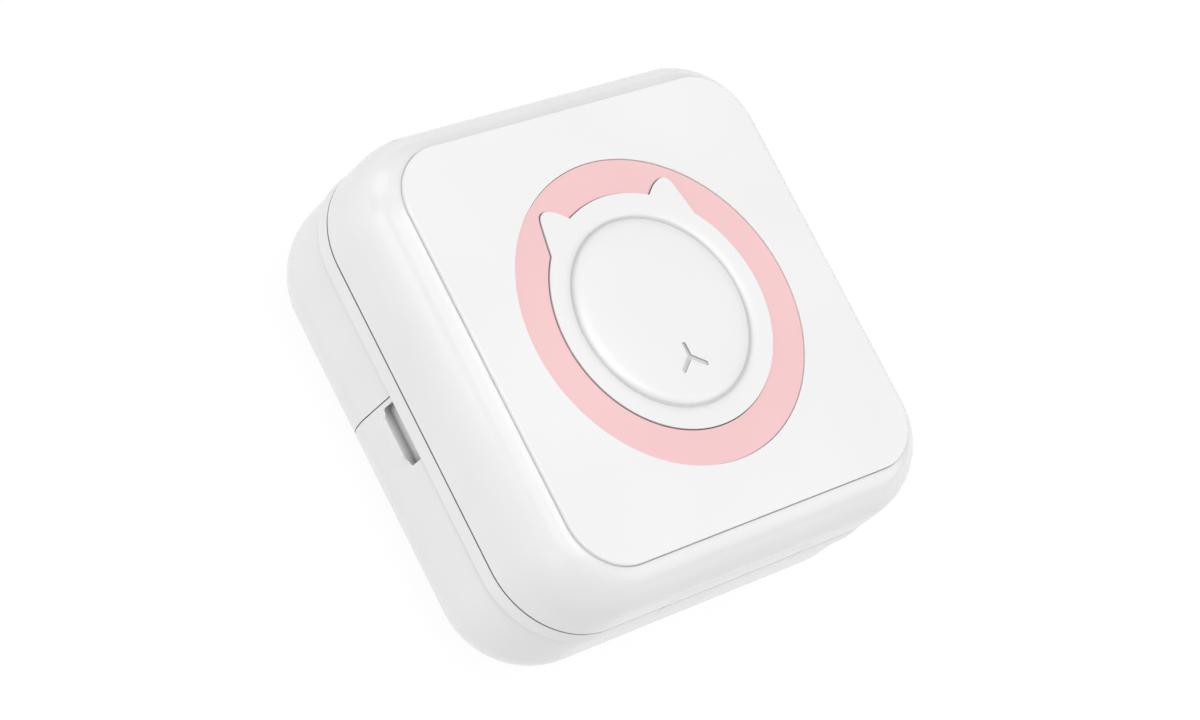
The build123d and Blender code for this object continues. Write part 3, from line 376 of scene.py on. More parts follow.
# %% Hollow it
front_wall = 1.8
roof_radius = 6.0
hollow = outline(front_wall, split_height - past)
hollow_rise = roof_bottom - roof_radius - split_height + past
raise_form(hollow, [(0, hollow_rise)] + quarter_steps(roof_radius, roof_radius, 10))
combine(front, hollow)
print("front moulding", len(front.data.polygons), "faces")

# %% [markdown]
# The ring and the button sit in round steps of the roof, like a watch glass in its case. The real
# tool has turned faces there too, so a plain rod of many sides is the right cutter for each.

# %% Sink the round pockets for the ring and the button
cutter_rise = 3
ring_radius = (ring_high.x - ring_low.x) / 2
ring_room_radius = ring_radius + 0.08
ring_floor = ring_low.z
key_room_radius = 25.0
key_room_floor = panel_floor - 0.8
skirt_hole_radius = 18.45
combine(front, rod(ring_room_radius, (0, 0, ring_floor), cutter_rise, sides=192))
combine(front, rod(key_room_radius, (0, 0, key_room_floor), cutter_rise, sides=192))
combine(front, rod(skirt_hole_radius, (0, 0, roof_bottom - past), cutter_rise + 2, sides=160))
print("pockets down to", round(roof_bottom, 2))

# %% [markdown]
# ### What the front moulding carries inside
#
# Four screw bosses, four board posts, two hinge lugs and a ledge over the paper slot grow out of
# the roof and the walls. A moulding is one closed skin, so each is joined by a boolean union and
# not left as a piece that only touches.

# %% Places of screws, board posts and hinge
screw_low, screw_high = box_mm("housing_screws")
board_low, board_high = box_mm("main_board")
hinge_low, hinge_high = box_mm("hinge_pin")
screw_head_radius = 1.8
near_boss = (half_width - 8.5, screw_low.y + screw_head_radius)
far_boss = (screw_high.x - screw_head_radius, screw_high.y - screw_head_radius)
boss_radius = 2.4
pilot_radius = 0.8
pilot_length = 10
post_radius = 2.0
post_x = 27.0
post_inset = 3.0
root_depth = 0.5
hinge_y = (hinge_low.y + hinge_high.y) / 2
hinge_height = (hinge_low.z + hinge_high.z) / 2
hinge_radius = 2.08
hinge_room = 2.2
tongue_half = 14.88
cutout_half = 14.95
cutout_back = hinge_y + hinge_room
print("hinge at", round(hinge_y, 2), round(hinge_height, 2))

# %% Join the bosses, the posts and the hinge lugs
lug_width = 5
lug_below = 1.6
lug_above = 4.2
lug_upright = 1.6
lug_back = cutout_back - 0.2
for side in (1, -1):
    for x, y in (near_boss, far_boss):
        boss = rod(boss_radius, (side * x, y, deck_top), roof_bottom + root_depth - deck_top, sides=48)
        combine(front, boss, "UNION")
        combine(front, rod(pilot_radius, (side * x, y, deck_top - past), pilot_length, sides=24))
    for y in (board_low.y + post_inset, board_high.y - post_inset):
        post_height = roof_bottom + root_depth - board_high.z
        combine(front, rod(post_radius, (side * post_x, y, board_high.z), post_height, sides=40), "UNION")
    lug = side_block(
        side, cutout_half, cutout_half + lug_width,
        (-half_length + past, hinge_height - lug_below), (lug_back, hinge_height + lug_above),
    )
    trim(lug, (0, lug_back, hinge_height + lug_upright), (0, 1, 1))
    combine(front, lug, "UNION")
print("with bosses", len(front.data.polygons), "faces")

# %% Join the ledge over the paper slot
bar_low, bar_high = box_mm("tear_bar")
slot_half = 29.25
ledge_back = half_length - 4.1
ledge_front = half_length - 1.3
ledge_height = 1.5
ledge = block((-slot_half, ledge_back, bar_high.z), (slot_half, ledge_front, bar_high.z + ledge_height))
combine(front, ledge, "UNION")

# %% [markdown]
# ### Openings in the front moulding
#
# The near end has a notch for the hinge tongue, the far end a slot that flares outwards so that the
# paper can be torn upwards against the bar, and the right wall the charging socket's hole. All are
# cut from the finished wall, as a mould's sliding cores do.

# %% Cut the hinge opening
pin_hole_radius = 0.75
notch_low = (-cutout_half, -half_length - past, deck_top)
combine(front, block(notch_low, (cutout_half, cutout_back, hinge_height)))
hinge_axis_start = (-cutout_half, hinge_y, hinge_height)
combine(front, rod(hinge_room, hinge_axis_start, 2 * cutout_half, "X", sides=128))
pin_start = (hinge_low.x, hinge_y, hinge_height)
combine(front, rod(pin_hole_radius, pin_start, hinge_high.x - hinge_low.x, "X", sides=32))

# %% Cut the flared paper slot
slot_bottom = bar_low.z - 1.9
wall_inside = half_length - 1.2
flare_down = 1.6
flare_out = 2.2
mouth_low = (-slot_half, half_length - 4.5, slot_bottom - flare_down)
mouth = block(mouth_low, (slot_half, half_length + past, bar_high.z))
trim(mouth, (0, wall_inside, slot_bottom), (0, -flare_down, -flare_out))
lower = block(
    (-slot_half - past, half_length - 5, slot_bottom - 3), (slot_half + past, wall_inside, slot_bottom)
)
combine(mouth, lower)
combine(front, mouth)

# %% Cut the charging socket's hole and finish the front
socket_low, socket_high = box_mm("usb_port")
socket_gap = 0.15
hole = block(
    (half_width - 3, socket_low.y - socket_gap, socket_low.z - socket_gap),
    (half_width + past, socket_high.y + socket_gap, socket_high.z + socket_gap),
)
hole_radius = (socket_high.z - socket_low.z) / 2 + socket_gap - 0.02
round_edges(hole, hole_radius, lambda at, edge: runs_across(edge), segments=12)
combine(front, hole)
hand_over(front, "housing", "white_housing", "front_shell")

# %% [markdown]
# ## Face panel and pink ring
#
# The panel is a separate flat moulding, let into a shallow pocket. Its only detail is a tight round
# on the edge, and that round is what draws the thin seam in the picture, so it is modelled and not
# painted. The ring lies three tenths of a millimetre lower, which leaves a fine wall round it.

# %% Panel
panel_size = panel_high.x - panel_low.x
panel_corner = 9.7
panel_round = 0.22
opening_round = 0.1
panel = rounded_plate(panel_size, panel_size, panel_corner, panel_floor, name="panel_moulding")
panel_rise = panel_top - panel_floor - panel_round
raise_form(panel, [(0, panel_rise)] + quarter_steps(panel_round, panel_round, 6))
combine(panel, rod(ring_room_radius, (0, 0, panel_floor - past), cutter_rise + past, sides=192))
rim = lambda at, edge: sharp(edge) and hypot(at.x, at.y) < ring_radius + 1 and at.z > panel_top - 0.01
round_edges(panel, opening_round, rim)
hand_over(panel, "housing", "white_panel", "face_panel")

# %% [markdown]
# ## Button outline
#
# The button is a round head with two ears. Each ear starts as a disc with a few corners, which are
# moved to their places and then rounded one by one with corner bevels, as on a drawing. The ring
# needs the same outline a little larger, so the outline is a function of how much it grows.

# %% Corners of an ear
head_radius = 20.85
button_gap = 0.15
ear_outline = [
    (9.0, 9.0), (15.7, 13.4), (15.0, 16.9), (14.35, 19.9),
    (13.8, 20.9), (12.65, 21.25), (10.75, 20.6), (8.75, 18.98),
]
ear_rounds = {2: 1.3, 3: 0.5, 4: 0.55, 5: 0.6, 6: 0.9}


def grown(corners, growth):
    """Move every corner of an outline that runs anticlockwise outwards by the same gap."""
    moved = []
    for before, corner, after in zip(corners[-1:] + corners[:-1], corners, corners[1:] + corners[:1]):
        come = (Vector(corner) - Vector(before)).normalized()
        go = (Vector(after) - Vector(corner)).normalized()
        out = Vector((come.y + go.y, -come.x - go.x))
        moved.append(Vector(corner) + out * growth / (1 + come.dot(go)))
    return moved


# %% Outline with ears
def ear(side, growth, low, high):
    """One ear as a solid, on the right or the left of the head, with its corners rounded."""
    places = grown(ear_outline, growth)
    count = len(places)
    bpy.ops.mesh.primitive_circle_add(vertices=count, radius=1, fill_type="NGON", location=(0, 0, low))
    plate = added("ear")
    for number, place in enumerate(places):
        old = plate.data.vertices[number].co.copy()
        pick(plate, "VERT", lambda vert: vert.index == number)
        bpy.ops.transform.translate(value=(side * place.x - old.x, place.y - old.y, 0))
        done()
    for number, reach in ear_rounds.items():
        corner = Vector((side * places[number].x, places[number].y, low))
        pick(plate, "VERT", lambda vert: (vert.co - corner).length < 0.01)
        bpy.ops.mesh.bevel(offset=reach, segments=8, affect="VERTICES")
        done()
    pick(plate, "FACE", lambda face: True)
    bpy.ops.mesh.extrude_region_move(TRANSFORM_OT_translate={"value": (0, 0, high - low)})
    bpy.ops.mesh.select_all(action="SELECT")
    bpy.ops.mesh.normals_make_consistent(inside=False)
    done()
    return plate


def head_with_ears(growth, low, high, sides=192):
    """The button's outline as a solid between two heights."""
    head = rod(head_radius + growth, (0, 0, low), high - low, sides=sides, name="head")
    for side in (1, -1):
        combine(head, ear(side, growth, low, high), "UNION")
    return head


# %% Ring
ring_edge_round = 0.06
ring = rod(ring_radius, (0, 0, ring_floor), ring_high.z - ring_floor, sides=192, name="ring_moulding")
combine(ring, head_with_ears(button_gap, ring_floor - past, ring_high.z + past))
round_edges(
    ring, ring_edge_round, lambda at, edge: sharp(edge) and at.z > ring_high.z - 0.01, segments=2
)
hand_over(ring, "housing", "pink_ring", "accent_ring")

# %% [markdown]
# ## Button
#
# The button's top is turned: a gentle slope falls from the rim to a groove, a round shoulder climbs
# out of it, and a low dome fills the middle. A disc taken inwards in inset steps makes that section
# like a lathe. The turned disc is then crossed with the outline, so that the ears keep the rim's
# level, and the outer edge is rounded last.

# %% Turn the top
top_thickness = 1
section = [
    (20.2, 0.0), (19.2, -0.01), (18.5, -0.035), (18.0, -0.08), (17.6, -0.15), (17.3, -0.24),
    (17.08, -0.35), (16.92, -0.48), (16.8, -0.62), (16.7, -0.7), (16.62, -0.66), (16.5, -0.48),
    (16.34, -0.28), (16.1, -0.1), (15.75, 0.06), (15.2, 0.19), (14.4, 0.3), (13.0, 0.39),
    (11.0, 0.475), (8.5, 0.53), (5.5, 0.575), (2.5, 0.597), (0.5, 0.6),
]
start_radius = head_radius + 7
top_bottom = panel_top - top_thickness
button = rod(start_radius, (0, 0, top_bottom), top_thickness, sides=192, name="button_moulding")
pick(button, "FACE", lambda face: face.normal.z > 0.9)
radius, height = start_radius, 0.0
for next_radius, next_height in section:
    bpy.ops.mesh.inset(thickness=radius - next_radius, depth=next_height - height)
    radius, height = next_radius, next_height
done()

# %% Cross it with the outline and round the rim
button_rim_round = 0.3
combine(button, head_with_ears(0, top_bottom, panel_top + 2), "INTERSECT")
rim = lambda at, edge: sharp(edge) and near(at.z, panel_top, 0.01) and hypot(at.x, at.y) > head_radius - 0.5
round_edges(button, button_rim_round, rim, segments=4)

# %% [markdown]
# The mark is three slots that meet in one point, and a frosted guide below shines through them when
# the printer is on. A slot with round ends is a rod whose far half is moved outwards, so the same
# helper makes the cutter and the guide that fills it.

# %% Cut the mark
mark_y = -8.8
mark_strokes = ((90, 2.1), (-38, 3.1), (218, 3.1))
mark_width = 0.82
mark_reach = 4.2
mark_round = 0.08


def mark_bars(low, high, width):
    """Three strokes with round ends that meet in one point."""
    whole = None
    for angle, length in mark_strokes:
        reach = Vector((cos(radians(angle)), sin(radians(angle)), 0)) * length
        bar = rod(width / 2, (0, mark_y, low), high - low, sides=32)
        pick(bar, "VERT", lambda vert: Vector((vert.co.x, vert.co.y - mark_y, 0)).dot(reach) > 1e-4)
        bpy.ops.transform.translate(value=reach)
        done()
        whole = combine(whole, bar, "UNION") if whole else bar
    return whole


combine(button, mark_bars(panel_top - 2, panel_top + 2, mark_width))

# %% Add the skirt and the stem, and round the mark's edges
button_low = box_mm("power_button")[0]
skirt_radius = 18.2
skirt_bore = 17.0
skirt_top = panel_top - 0.9
stem_radius = 1.8
stem_bottom = panel_top - 2.9
stem_length = 2.0
skirt = rod(skirt_radius, (0, 0, button_low.z), skirt_top - button_low.z, sides=160)
combine(skirt, rod(skirt_bore, (0, 0, button_low.z - past), 6, sides=160))
combine(button, skirt, "UNION")
combine(button, rod(stem_radius, (0, 0, stem_bottom), stem_length, sides=40), "UNION")
rim = lambda at, edge: sharp(edge) and at.z > panel_top and hypot(at.x, at.y - mark_y) < mark_reach
round_edges(button, mark_round, rim, segments=2)
hand_over(button, "button", "white_button", "power_button")

# %% Light guide below the mark
guide_low, guide_high = box_mm("light_guide")
guide_foot_radius = 3.7
guide_foot_height = 0.9
guide = mark_bars(guide_low.z + 0.5, guide_high.z, mark_width)
guide_foot = rod(guide_foot_radius, (0, mark_y, guide_low.z), guide_foot_height, sides=48)
combine(guide, guide_foot, "UNION")
guide.name = "light_guide_moulding"
hand_over(guide, "button", "diffuser", "light_guide")

# %% [markdown]
# ## Band between the halves
#
# The middle frame shows outside as a narrow band, proud of the rear shell and parted from the front
# moulding by a fine groove. The band is raised like the front: its top face is taken in, up, in and
# up again, so that the groove and the lip that locates the front moulding grow out of one form.

# %% Raise the band with its groove and its locating lip
band_round = 0.07
band_wall = 3
locator_inset = front_wall + 0.15
locator_height = 1.5
least_top_area = 1000
band_steps = [(0, foot_height), (band_lean, band_height - seam_gap - foot_height)]
band = raise_form(outline(0, band_bottom, "band_moulding"), band_steps)
round_edges(band, band_round, lambda at, edge: sharp(edge))
pick(band, "FACE", lambda face: face.normal.z > 0.9 and face.calc_area() > least_top_area)
bpy.ops.mesh.inset(thickness=seam_depth - band_round, depth=0)
bpy.ops.mesh.inset(thickness=0, depth=seam_gap)
bpy.ops.mesh.inset(thickness=locator_inset - seam_depth - band_lean, depth=0)
bpy.ops.mesh.inset(thickness=0, depth=locator_height)
done()
combine(band, raise_form(outline(band_wall, deck_top), [(0, 10)]))

# %% [markdown]
# The deck carries a half-round trough over the paper roll. It is a rod with a smaller rod taken
# out, sawn off at the deck's lower face. A block opens it where the paper leaves for the platen.

# %% Build the trough over the roll
roll_low, roll_high = box_mm("paper_roll")
roll_y = (roll_low.y + roll_high.y) / 2
roll_height = (roll_low.z + roll_high.z) / 2
roll_half = roll_high.x
roll_radius = (roll_high.z - roll_low.z) / 2
bay_radius = roll_radius + 1.4
bay_half = roll_half + 1.3
trough_wall = 1.2
trough_start = (-bay_half - trough_wall, roll_y, roll_height)
trough_length = 2 * bay_half + 2 * trough_wall
trough = rod(bay_radius + trough_wall, trough_start, trough_length, "X", sides=128)
trim(trough, (0, 0, band_bottom), (0, 0, -1))
combine(band, trough, "UNION")
combine(band, rod(bay_radius, (-bay_half, roll_y, roll_height), 2 * bay_half, "X", sides=128))

# %% Let the paper out of the trough
way_out_half = roll_half + 0.3
way_out_y = roll_y + bay_radius * 0.75
way_out_height = roll_height + bay_radius * 0.7
way_out_reach = bay_radius * 0.25
way_out_rise = 1.8
way_out = block(
    (-way_out_half, way_out_y - way_out_reach, way_out_height - way_out_rise),
    (way_out_half, way_out_y + way_out_reach, way_out_height + way_out_rise),
)
combine(band, way_out)

# %% [markdown]
# The deck is open below the motor, the gears and the platen, and over the cover's two snap tabs.
# Each opening is a block through the deck's whole thickness, placed by the solid that passes it.

# %% Cut the openings in the deck
motor_low = box_mm("stepper_motor")[0]
wheel_low, wheel_high = box_mm("reduction_gear")
post_high = box_mm("gear_post")[1]
platen_low, platen_high = box_mm("platen_roller")
gear_low, gear_high = box_mm("platen_gear")
platen_y = (platen_low.y + platen_high.y) / 2
platen_height = (platen_low.z + platen_high.z) / 2
wheel_y = (wheel_low.y + wheel_high.y) / 2
grip_y = -0.7
tab_x = half_width - 3.85
wheel_room = 3.9
platen_room = (29.6, 4.8)
tab_room = (0.85, 3.2)
openings = [
    ((motor_low.x - 2, motor_low.y - 0.4), (wheel_low.x + 2.0, wheel_high.y + 0.1)),
    ((wheel_low.x + 1.6, wheel_y - wheel_room), (post_high.x + 0.3, wheel_y + wheel_room)),
    ((-platen_room[0], platen_y - platen_room[1]), (platen_room[0], platen_y + platen_room[1])),
]
for x in (tab_x, -tab_x):
    openings.append(((x - tab_room[0], grip_y - tab_room[1]), (x + tab_room[0], grip_y + tab_room[1])))
for low, high in openings:
    combine(band, block((*low, band_bottom - past), (*high, deck_top + 0.5)))
print(len(openings), "openings in the deck")

# %% Cut the room for the platen's gear and the notch for the hinge tongue
gear_gap = 0.4
gear_room = (gear_high.y - gear_low.y) / 2 + gear_gap
gear_room_length = gear_high.x - gear_low.x + 2 * gear_gap
combine(band, rod(gear_room, (gear_low.x - gear_gap, platen_y, platen_height), gear_room_length, "X"))
notch_above = 2.6
notch_low = (-cutout_half, -half_length - past, band_bottom - past)
combine(band, block(notch_low, (cutout_half, cutout_back, split_height + notch_above)))
hand_over(band, "housing", "white_housing", "middle_frame")

# %% [markdown]
# ## Rear form
#
# The back is one deep tub with a large round edge, split across into a hinged cover and a fixed
# shell. Both halves come from the same raised form, sawn at the seam, with the sawn edges rounded a
# little before the form is hollowed: that small round makes the bright line beside the dark seam.

# %% Raise a tub and saw it in two
rear_inset = 0.4
rear_wall = 1.6
rear_edge_radius = 14.0
cover_edge = 5.22
rear_edge = 5.38
cover_top = band_bottom - 0.35
seam_round = 0.05
rim_round = 0.28


def rear_tub(into, start=None, end=None):
    """The rear form, drawn in by a part of its wall, whole or kept from a start to an end."""
    radius = rear_edge_radius - into
    tub = outline(rear_inset + into, 0)
    raise_form(tub, [(0, band_bottom - into - radius)] + quarter_steps(radius, radius, 28))
    turn_over(tub, band_bottom)
    if start is not None:
        trim(tub, (0, start, 0), (0, -1, 0))
    if end is not None:
        trim(tub, (0, end, 0), (0, 1, 0))
    return tub


def half_tub(seam, away, top, name):
    """The tub on one side of a seam, with the seam's edge and the rim at its top rounded a little."""
    half = rear_tub(0)
    trim(half, (0, seam, 0), (0, away, 0))
    if top < band_bottom:
        trim(half, (0, 0, top), (0, 0, 1))
    round_edges(half, seam_round, lambda at, edge: sharp(edge) and near(at.y, seam))
    rim = lambda at, edge: sharp(edge) and near(at.z, top) and away * (at.y - seam) < -0.01
    round_edges(half, rim_round, rim)
    half.name = name
    return half


# %% Hollow the cover's half
cover = half_tub(cover_edge, 1, cover_top, "cover_moulding")
combine(cover, rear_tub(rear_wall, end=cover_edge + past))

# %% [markdown]
# ### Finger recess, lip and snap tab
#
# A recess with a little lip under it on each side wall gives the fingers a hold to open the cover.
# The wall is thickened inside first, then a block with round corners is sunk into it. The lip is a
# block cut into rows, and each row is pushed out further than the one below, along a soft curve.

# %% Sizes of the recess, the lip and the tab
wall_x = half_width - rear_inset
grip_length = 10.2
grip_height = 3.25
grip_bottom = cover_top - grip_height
grip_depth = 1.2
grip_round = 0.7
pad_half = cover_edge - grip_y - 0.2
pad_below = 2.4
lip_reach = 0.7
lip_length = 8.6
lip_height = 4.5
lip_root = 0.8
lip_rows = 8
lip_round = 0.35
tab_half = (0.65, 2.5)
tab_above = 2.1
print("recess", grip_length, "by", grip_height, "and", grip_depth, "deep")


# %% Make them on both sides
def sink_recess(side):
    """Thicken the cover's wall on one side and sink the finger recess in it."""
    floor_x = wall_x - grip_depth
    pad_low = (grip_y - pad_half, grip_bottom - pad_below)
    pad_high = (grip_y + pad_half, cover_top)
    combine(cover, side_block(side, floor_x - rear_wall, floor_x, pad_low, pad_high), "UNION")
    recess = side_block(
        side, floor_x, wall_x + 2,
        (grip_y - grip_length / 2, grip_bottom), (grip_y + grip_length / 2, cover_top + 3),
    )
    low_corners = lambda at, edge: runs_across(edge) and at.z < cover_top
    round_edges(recess, grip_round, low_corners, segments=6)
    combine(cover, recess)


def lip_wedge(side):
    """A block under one recess whose outer face curves out towards its top edge."""
    half_length_of_lip = lip_length / 2
    lip = side_block(
        side, wall_x - lip_root, wall_x,
        (grip_y - half_length_of_lip, grip_bottom - lip_height), (grip_y + half_length_of_lip, grip_bottom),
    )
    pick(lip, "FACE", lambda face: True)
    bpy.ops.mesh.subdivide(number_cuts=lip_rows - 1)
    done()
    for row in range(1, lip_rows + 1):
        level = grip_bottom - lip_height * (1 - row / lip_rows)
        in_row = lambda vert: near(vert.co.x, side * wall_x, 0.01) and near(vert.co.z, level, 0.01)
        pick(lip, "VERT", lambda vert: in_row(vert) and near(vert.co.y, grip_y, half_length_of_lip - 0.01))
        bpy.ops.transform.translate(value=(side * lip_reach * (row / lip_rows) ** 2, 0, 0))
        done()
    crest = wall_x + lip_reach
    top_edge = lambda at, edge: at.z > grip_bottom - 0.001 and side * at.x > crest - 0.01
    round_edges(lip, lip_round, top_edge, segments=4)
    return lip


for side in (-1, 1):
    sink_recess(side)
    combine(cover, lip_wedge(side), "UNION")
    x = side * tab_x
    tab_low = (x - tab_half[0], grip_y - tab_half[1], grip_bottom)
    combine(cover, block(tab_low, (x + tab_half[0], grip_y + tab_half[1], band_bottom + tab_above)), "UNION")
print("cover with recesses", len(cover.data.polygons), "faces")

# %% [markdown]
# ### Hinge tongue and barrel
#
# The cover's tongue fills the notch in the near end wall and repeats the outer form there: the
# band's lean, the seam's waist and the front's draft. All three are raised from the same outline,
# stacked, and crossed with a strip that ends in the round barrel. So the tongue lies flush with the
# walls beside it, and the seams run on across it.

# %% Build the tongue and join it to the cover
tongue_wall = 1.9
upper_foot = 0.2
root_inset = 0.3
tongue = raise_form(outline(0, band_bottom, "tongue"), band_steps)
waist = outline(band_lean + seam_depth, split_height - seam_gap - past)
combine(tongue, raise_form(waist, [(0, seam_gap + 2 * past)]), "UNION")
upper = outline(band_lean, split_height)
upper_steps = [(0, upper_foot), (front_draft, edge_start - split_height - upper_foot)]
combine(tongue, raise_form(upper, upper_steps), "UNION")
tongue_inside = -half_length + tongue_wall
strip_low = (-tongue_half, -half_length - past, band_bottom - past)
strip = block(strip_low, (tongue_half, tongue_inside, hinge_height))
barrel = rod(hinge_radius, (-tongue_half, hinge_y, hinge_height), 2 * tongue_half, "X", sides=128)
combine(strip, barrel, "UNION")
combine(tongue, strip, "INTERSECT")
root_low = (-tongue_half, -half_length + rear_inset + root_inset, cover_top - past)
combine(tongue, block(root_low, (tongue_half, tongue_inside, band_bottom + past)), "UNION")
combine(cover, tongue, "UNION")

# %% Bore the barrel for the pin
bore_radius = 0.8
bore_start = (-tongue_half - past, hinge_y, hinge_height)
combine(cover, rod(bore_radius, bore_start, 2 * tongue_half + 2 * past, "X", sides=40))

# %% [markdown]
# The roll lies loose in the cover on three curved ribs. A rib is a thin block with the roll's own
# round taken out of its top, a little larger than the paper so that the roll can turn.

# %% Join the ribs that carry the roll
rib_half = 0.6
rib_place = 0.7 * roll_half
rib_y = (roll_y - 13.6, roll_y + 12.4)
rib_z = (rear_wall - 0.4, rear_wall + 4.6)
roll_gap = 0.3
for x in (-rib_place, 0.0, rib_place):
    rib = block((x - rib_half, rib_y[0], rib_z[0]), (x + rib_half, rib_y[1], rib_z[1]))
    combine(rib, rod(roll_radius + roll_gap, (x - past, roll_y, roll_height), 2 * past, "X", sides=128))
    combine(cover, rib, "UNION")
hand_over(cover, "cover", "white_housing", "paper_cover")

# %% [markdown]
# ## Rear shell
#
# The fixed half of the back covers battery and board. It is the other side of the same tub, with a
# wall beside the roll and two flat tabs for its screws. A thin lip of the same form, drawn in by the
# wall, reaches under the cover's edge and keeps dust out of the seam.

# %% Hollow the shell's half
rear = half_tub(rear_edge, -1, band_bottom, "rear_moulding")
combine(rear, rear_tub(rear_wall, start=rear_edge + rear_wall))

# %% Join the bulkhead and the screw tabs
root = 0.2
combine(rear, rear_tub(rear_wall - root, rear_edge, rear_edge + rear_wall), "UNION")
tab_screw_low, tab_screw_high = box_mm("rear_shell_screws")
screw_x = tab_screw_high.x - screw_head_radius
screw_y = tab_screw_low.y + screw_head_radius
screw_tab_half = 3
screw_hole_radius = 1.0
screw_hole_length = 5
tab_back = rear_edge + rear_wall - root
for side in (1, -1):
    x = side * screw_x
    tab_low = (x - screw_tab_half, rear_low.y, band_bottom - rear_wall)
    combine(rear, block(tab_low, (x + screw_tab_half, tab_back, band_bottom)), "UNION")
    combine(rear, rod(screw_hole_radius, (x, screw_y, band_bottom - 3), screw_hole_length, sides=32))

# %% Join the dust lip under the cover's edge
dust_lip_gap = 0.1
dust_lip_wall = 0.8
dust_lip_top = grip_bottom - 3.6
dust_lip_into = rear_wall + dust_lip_gap
dust_lip = rear_tub(dust_lip_into, rear_edge - 1.5, rear_edge + 0.4)
trim(dust_lip, (0, 0, dust_lip_top), (0, 0, 1))
combine(dust_lip, rear_tub(dust_lip_into + dust_lip_wall, end=rear_edge + 0.2))
combine(rear, dust_lip, "UNION")

# %% Join the two ribs that hold the battery
battery_low, battery_high = box_mm("battery")
battery_gap = 0.9
battery_length = battery_high.y - battery_low.y
rib_middle = (battery_low.y + battery_high.y) / 2 - 4.0
rib_reach = 0.2 * battery_length
rib_floor = rear_wall - root
rib_top = rib_floor + 0.65 * (battery_high.z - battery_low.z)
for side in (1, -1):
    x = side * (battery_high.x + battery_gap)
    rib_low = (x - rib_half, rib_middle - rib_reach, rib_floor)
    combine(rear, block(rib_low, (x + rib_half, rib_middle + rib_reach, rib_top)), "UNION")
hand_over(rear, "housing", "white_housing", "rear_shell")

# %% [markdown]
# ## Finishes
#
# A white object lives from its gloss: roughness and a very slight waviness of the skin carry all
# that the eye reads as moulded plastic. Each finish is one real material with its process, mixed
# from two close colours by a noise whose grain is a real size. The noise also moves the roughness
# and the height a little. Image textures could give the same, but would need seams and files.

# %% Colours and nodes
MICRON = 1e-6


def srgb(text):
    """Turn an sRGB hex colour into linear values with full alpha."""
    parts = [int(text[place : place + 2], 16) / 255 for place in (0, 2, 4)]
    return (*[c / 12.92 if c <= 0.04045 else ((c + 0.055) / 1.055) ** 2.4 for c in parts], 1.0)


def add_node(tree, kind, settings=None, links=None):
    """Add a node with its settings, its input values and the sockets that feed it."""
    made = tree.nodes.new(kind)
    for name, value in (settings or {}).items():
        if isinstance(name, str) and hasattr(made, name):
            setattr(made, name, value)
        else:
            made.inputs[name].default_value = value
    for name, socket in (links or {}).items():
        tree.links.new(socket, made.inputs[name])
    return made


def spread(tree, value, low, high, start, end):
    """Turn a value between low and high into one between start and end."""
    limits = {"From Min": low, "From Max": high, "To Min": start, "To Max": end}
    return add_node(tree, "ShaderNodeMapRange", limits, {"Value": value}).outputs["Result"]


# %% A finish from two close colours, a grain and a gloss
finishes = {}
ramp_ends = (0.35, 0.65)
noise_ends = (0.3, 0.7)


def finish(
    slot, name, colours, gloss, grain,
    stretch=(1, 1, 1), height=0.0, metal=0.0, ior=1.5, cloud=30.0, mix=0.5,
):
    """Make one slot's material: grain and cloud are in millimetres, height in micrometres."""
    material = bpy.data.materials.new(name)
    material.use_nodes = True
    tree = material.node_tree
    shader = tree.nodes["Principled BSDF"]
    place = add_node(tree, "ShaderNodeTexCoord").outputs["Object"]
    stretched = add_node(tree, "ShaderNodeMapping", {"Scale": stretch}, {"Vector": place}).outputs["Vector"]
    slow = {"Scale": 1 / (cloud * MM), "Detail": 2.0}
    quick = {"Scale": 1 / (grain * MM), "Detail": 4.0}
    soft = add_node(tree, "ShaderNodeTexNoise", slow, {"Vector": place}).outputs["Fac"]
    fine = add_node(tree, "ShaderNodeTexNoise", quick, {"Vector": stretched}).outputs["Fac"]
    both = add_node(tree, "ShaderNodeMix", {"data_type": "FLOAT", "Factor": mix}, {"A": soft, "B": fine})
    shade = add_node(tree, "ShaderNodeValToRGB", links={"Fac": both.outputs["Result"]})
    for stop, position, colour in zip(shade.color_ramp.elements, ramp_ends, colours):
        stop.position = position
        stop.color = srgb(colour)
    polish = spread(tree, fine, *noise_ends, *gloss)
    relief = {"Strength": 1.0, "Distance": height * MICRON}
    bump = add_node(tree, "ShaderNodeBump", relief, {"Height": fine})
    tree.links.new(shade.outputs["Color"], shader.inputs["Base Color"])
    tree.links.new(polish, shader.inputs["Roughness"])
    tree.links.new(bump.outputs["Normal"], shader.inputs["Normal"])
    shader.inputs["Metallic"].default_value = metal
    if not metal:
        shader.inputs["IOR"].default_value = ior
    finishes[slot] = material
    return tree, shader, place, bump


# %% [markdown]
# ### Second patterns and painted seam shade
#
# A board shows its weave, foil its quilting and foam its cells: a second pattern is laid over the
# finish, with its own colour and height. White plastic gets painted shade instead. A real seam runs
# deep and loses the light that falls in, and the seams here are shallow, so that shade is painted
# into the colour: the whites fall towards grey where other faces stand close. One ambient occlusion
# node finds every seam and corner by itself.

# %% Patterns and seams over a finish
def colour_over(tree, shader, share, colour):
    """Mix a second colour over a finish by a share between 0 and 1."""
    under = shader.inputs["Base Color"].links[0].from_socket
    mixed = add_node(tree, "ShaderNodeMix", {"data_type": "RGBA"}, {"Factor": share})
    tree.links.new(under, mixed.inputs[6])
    mixed.inputs[7].default_value = srgb(colour)
    tree.links.new(mixed.outputs[2], shader.inputs["Base Color"])


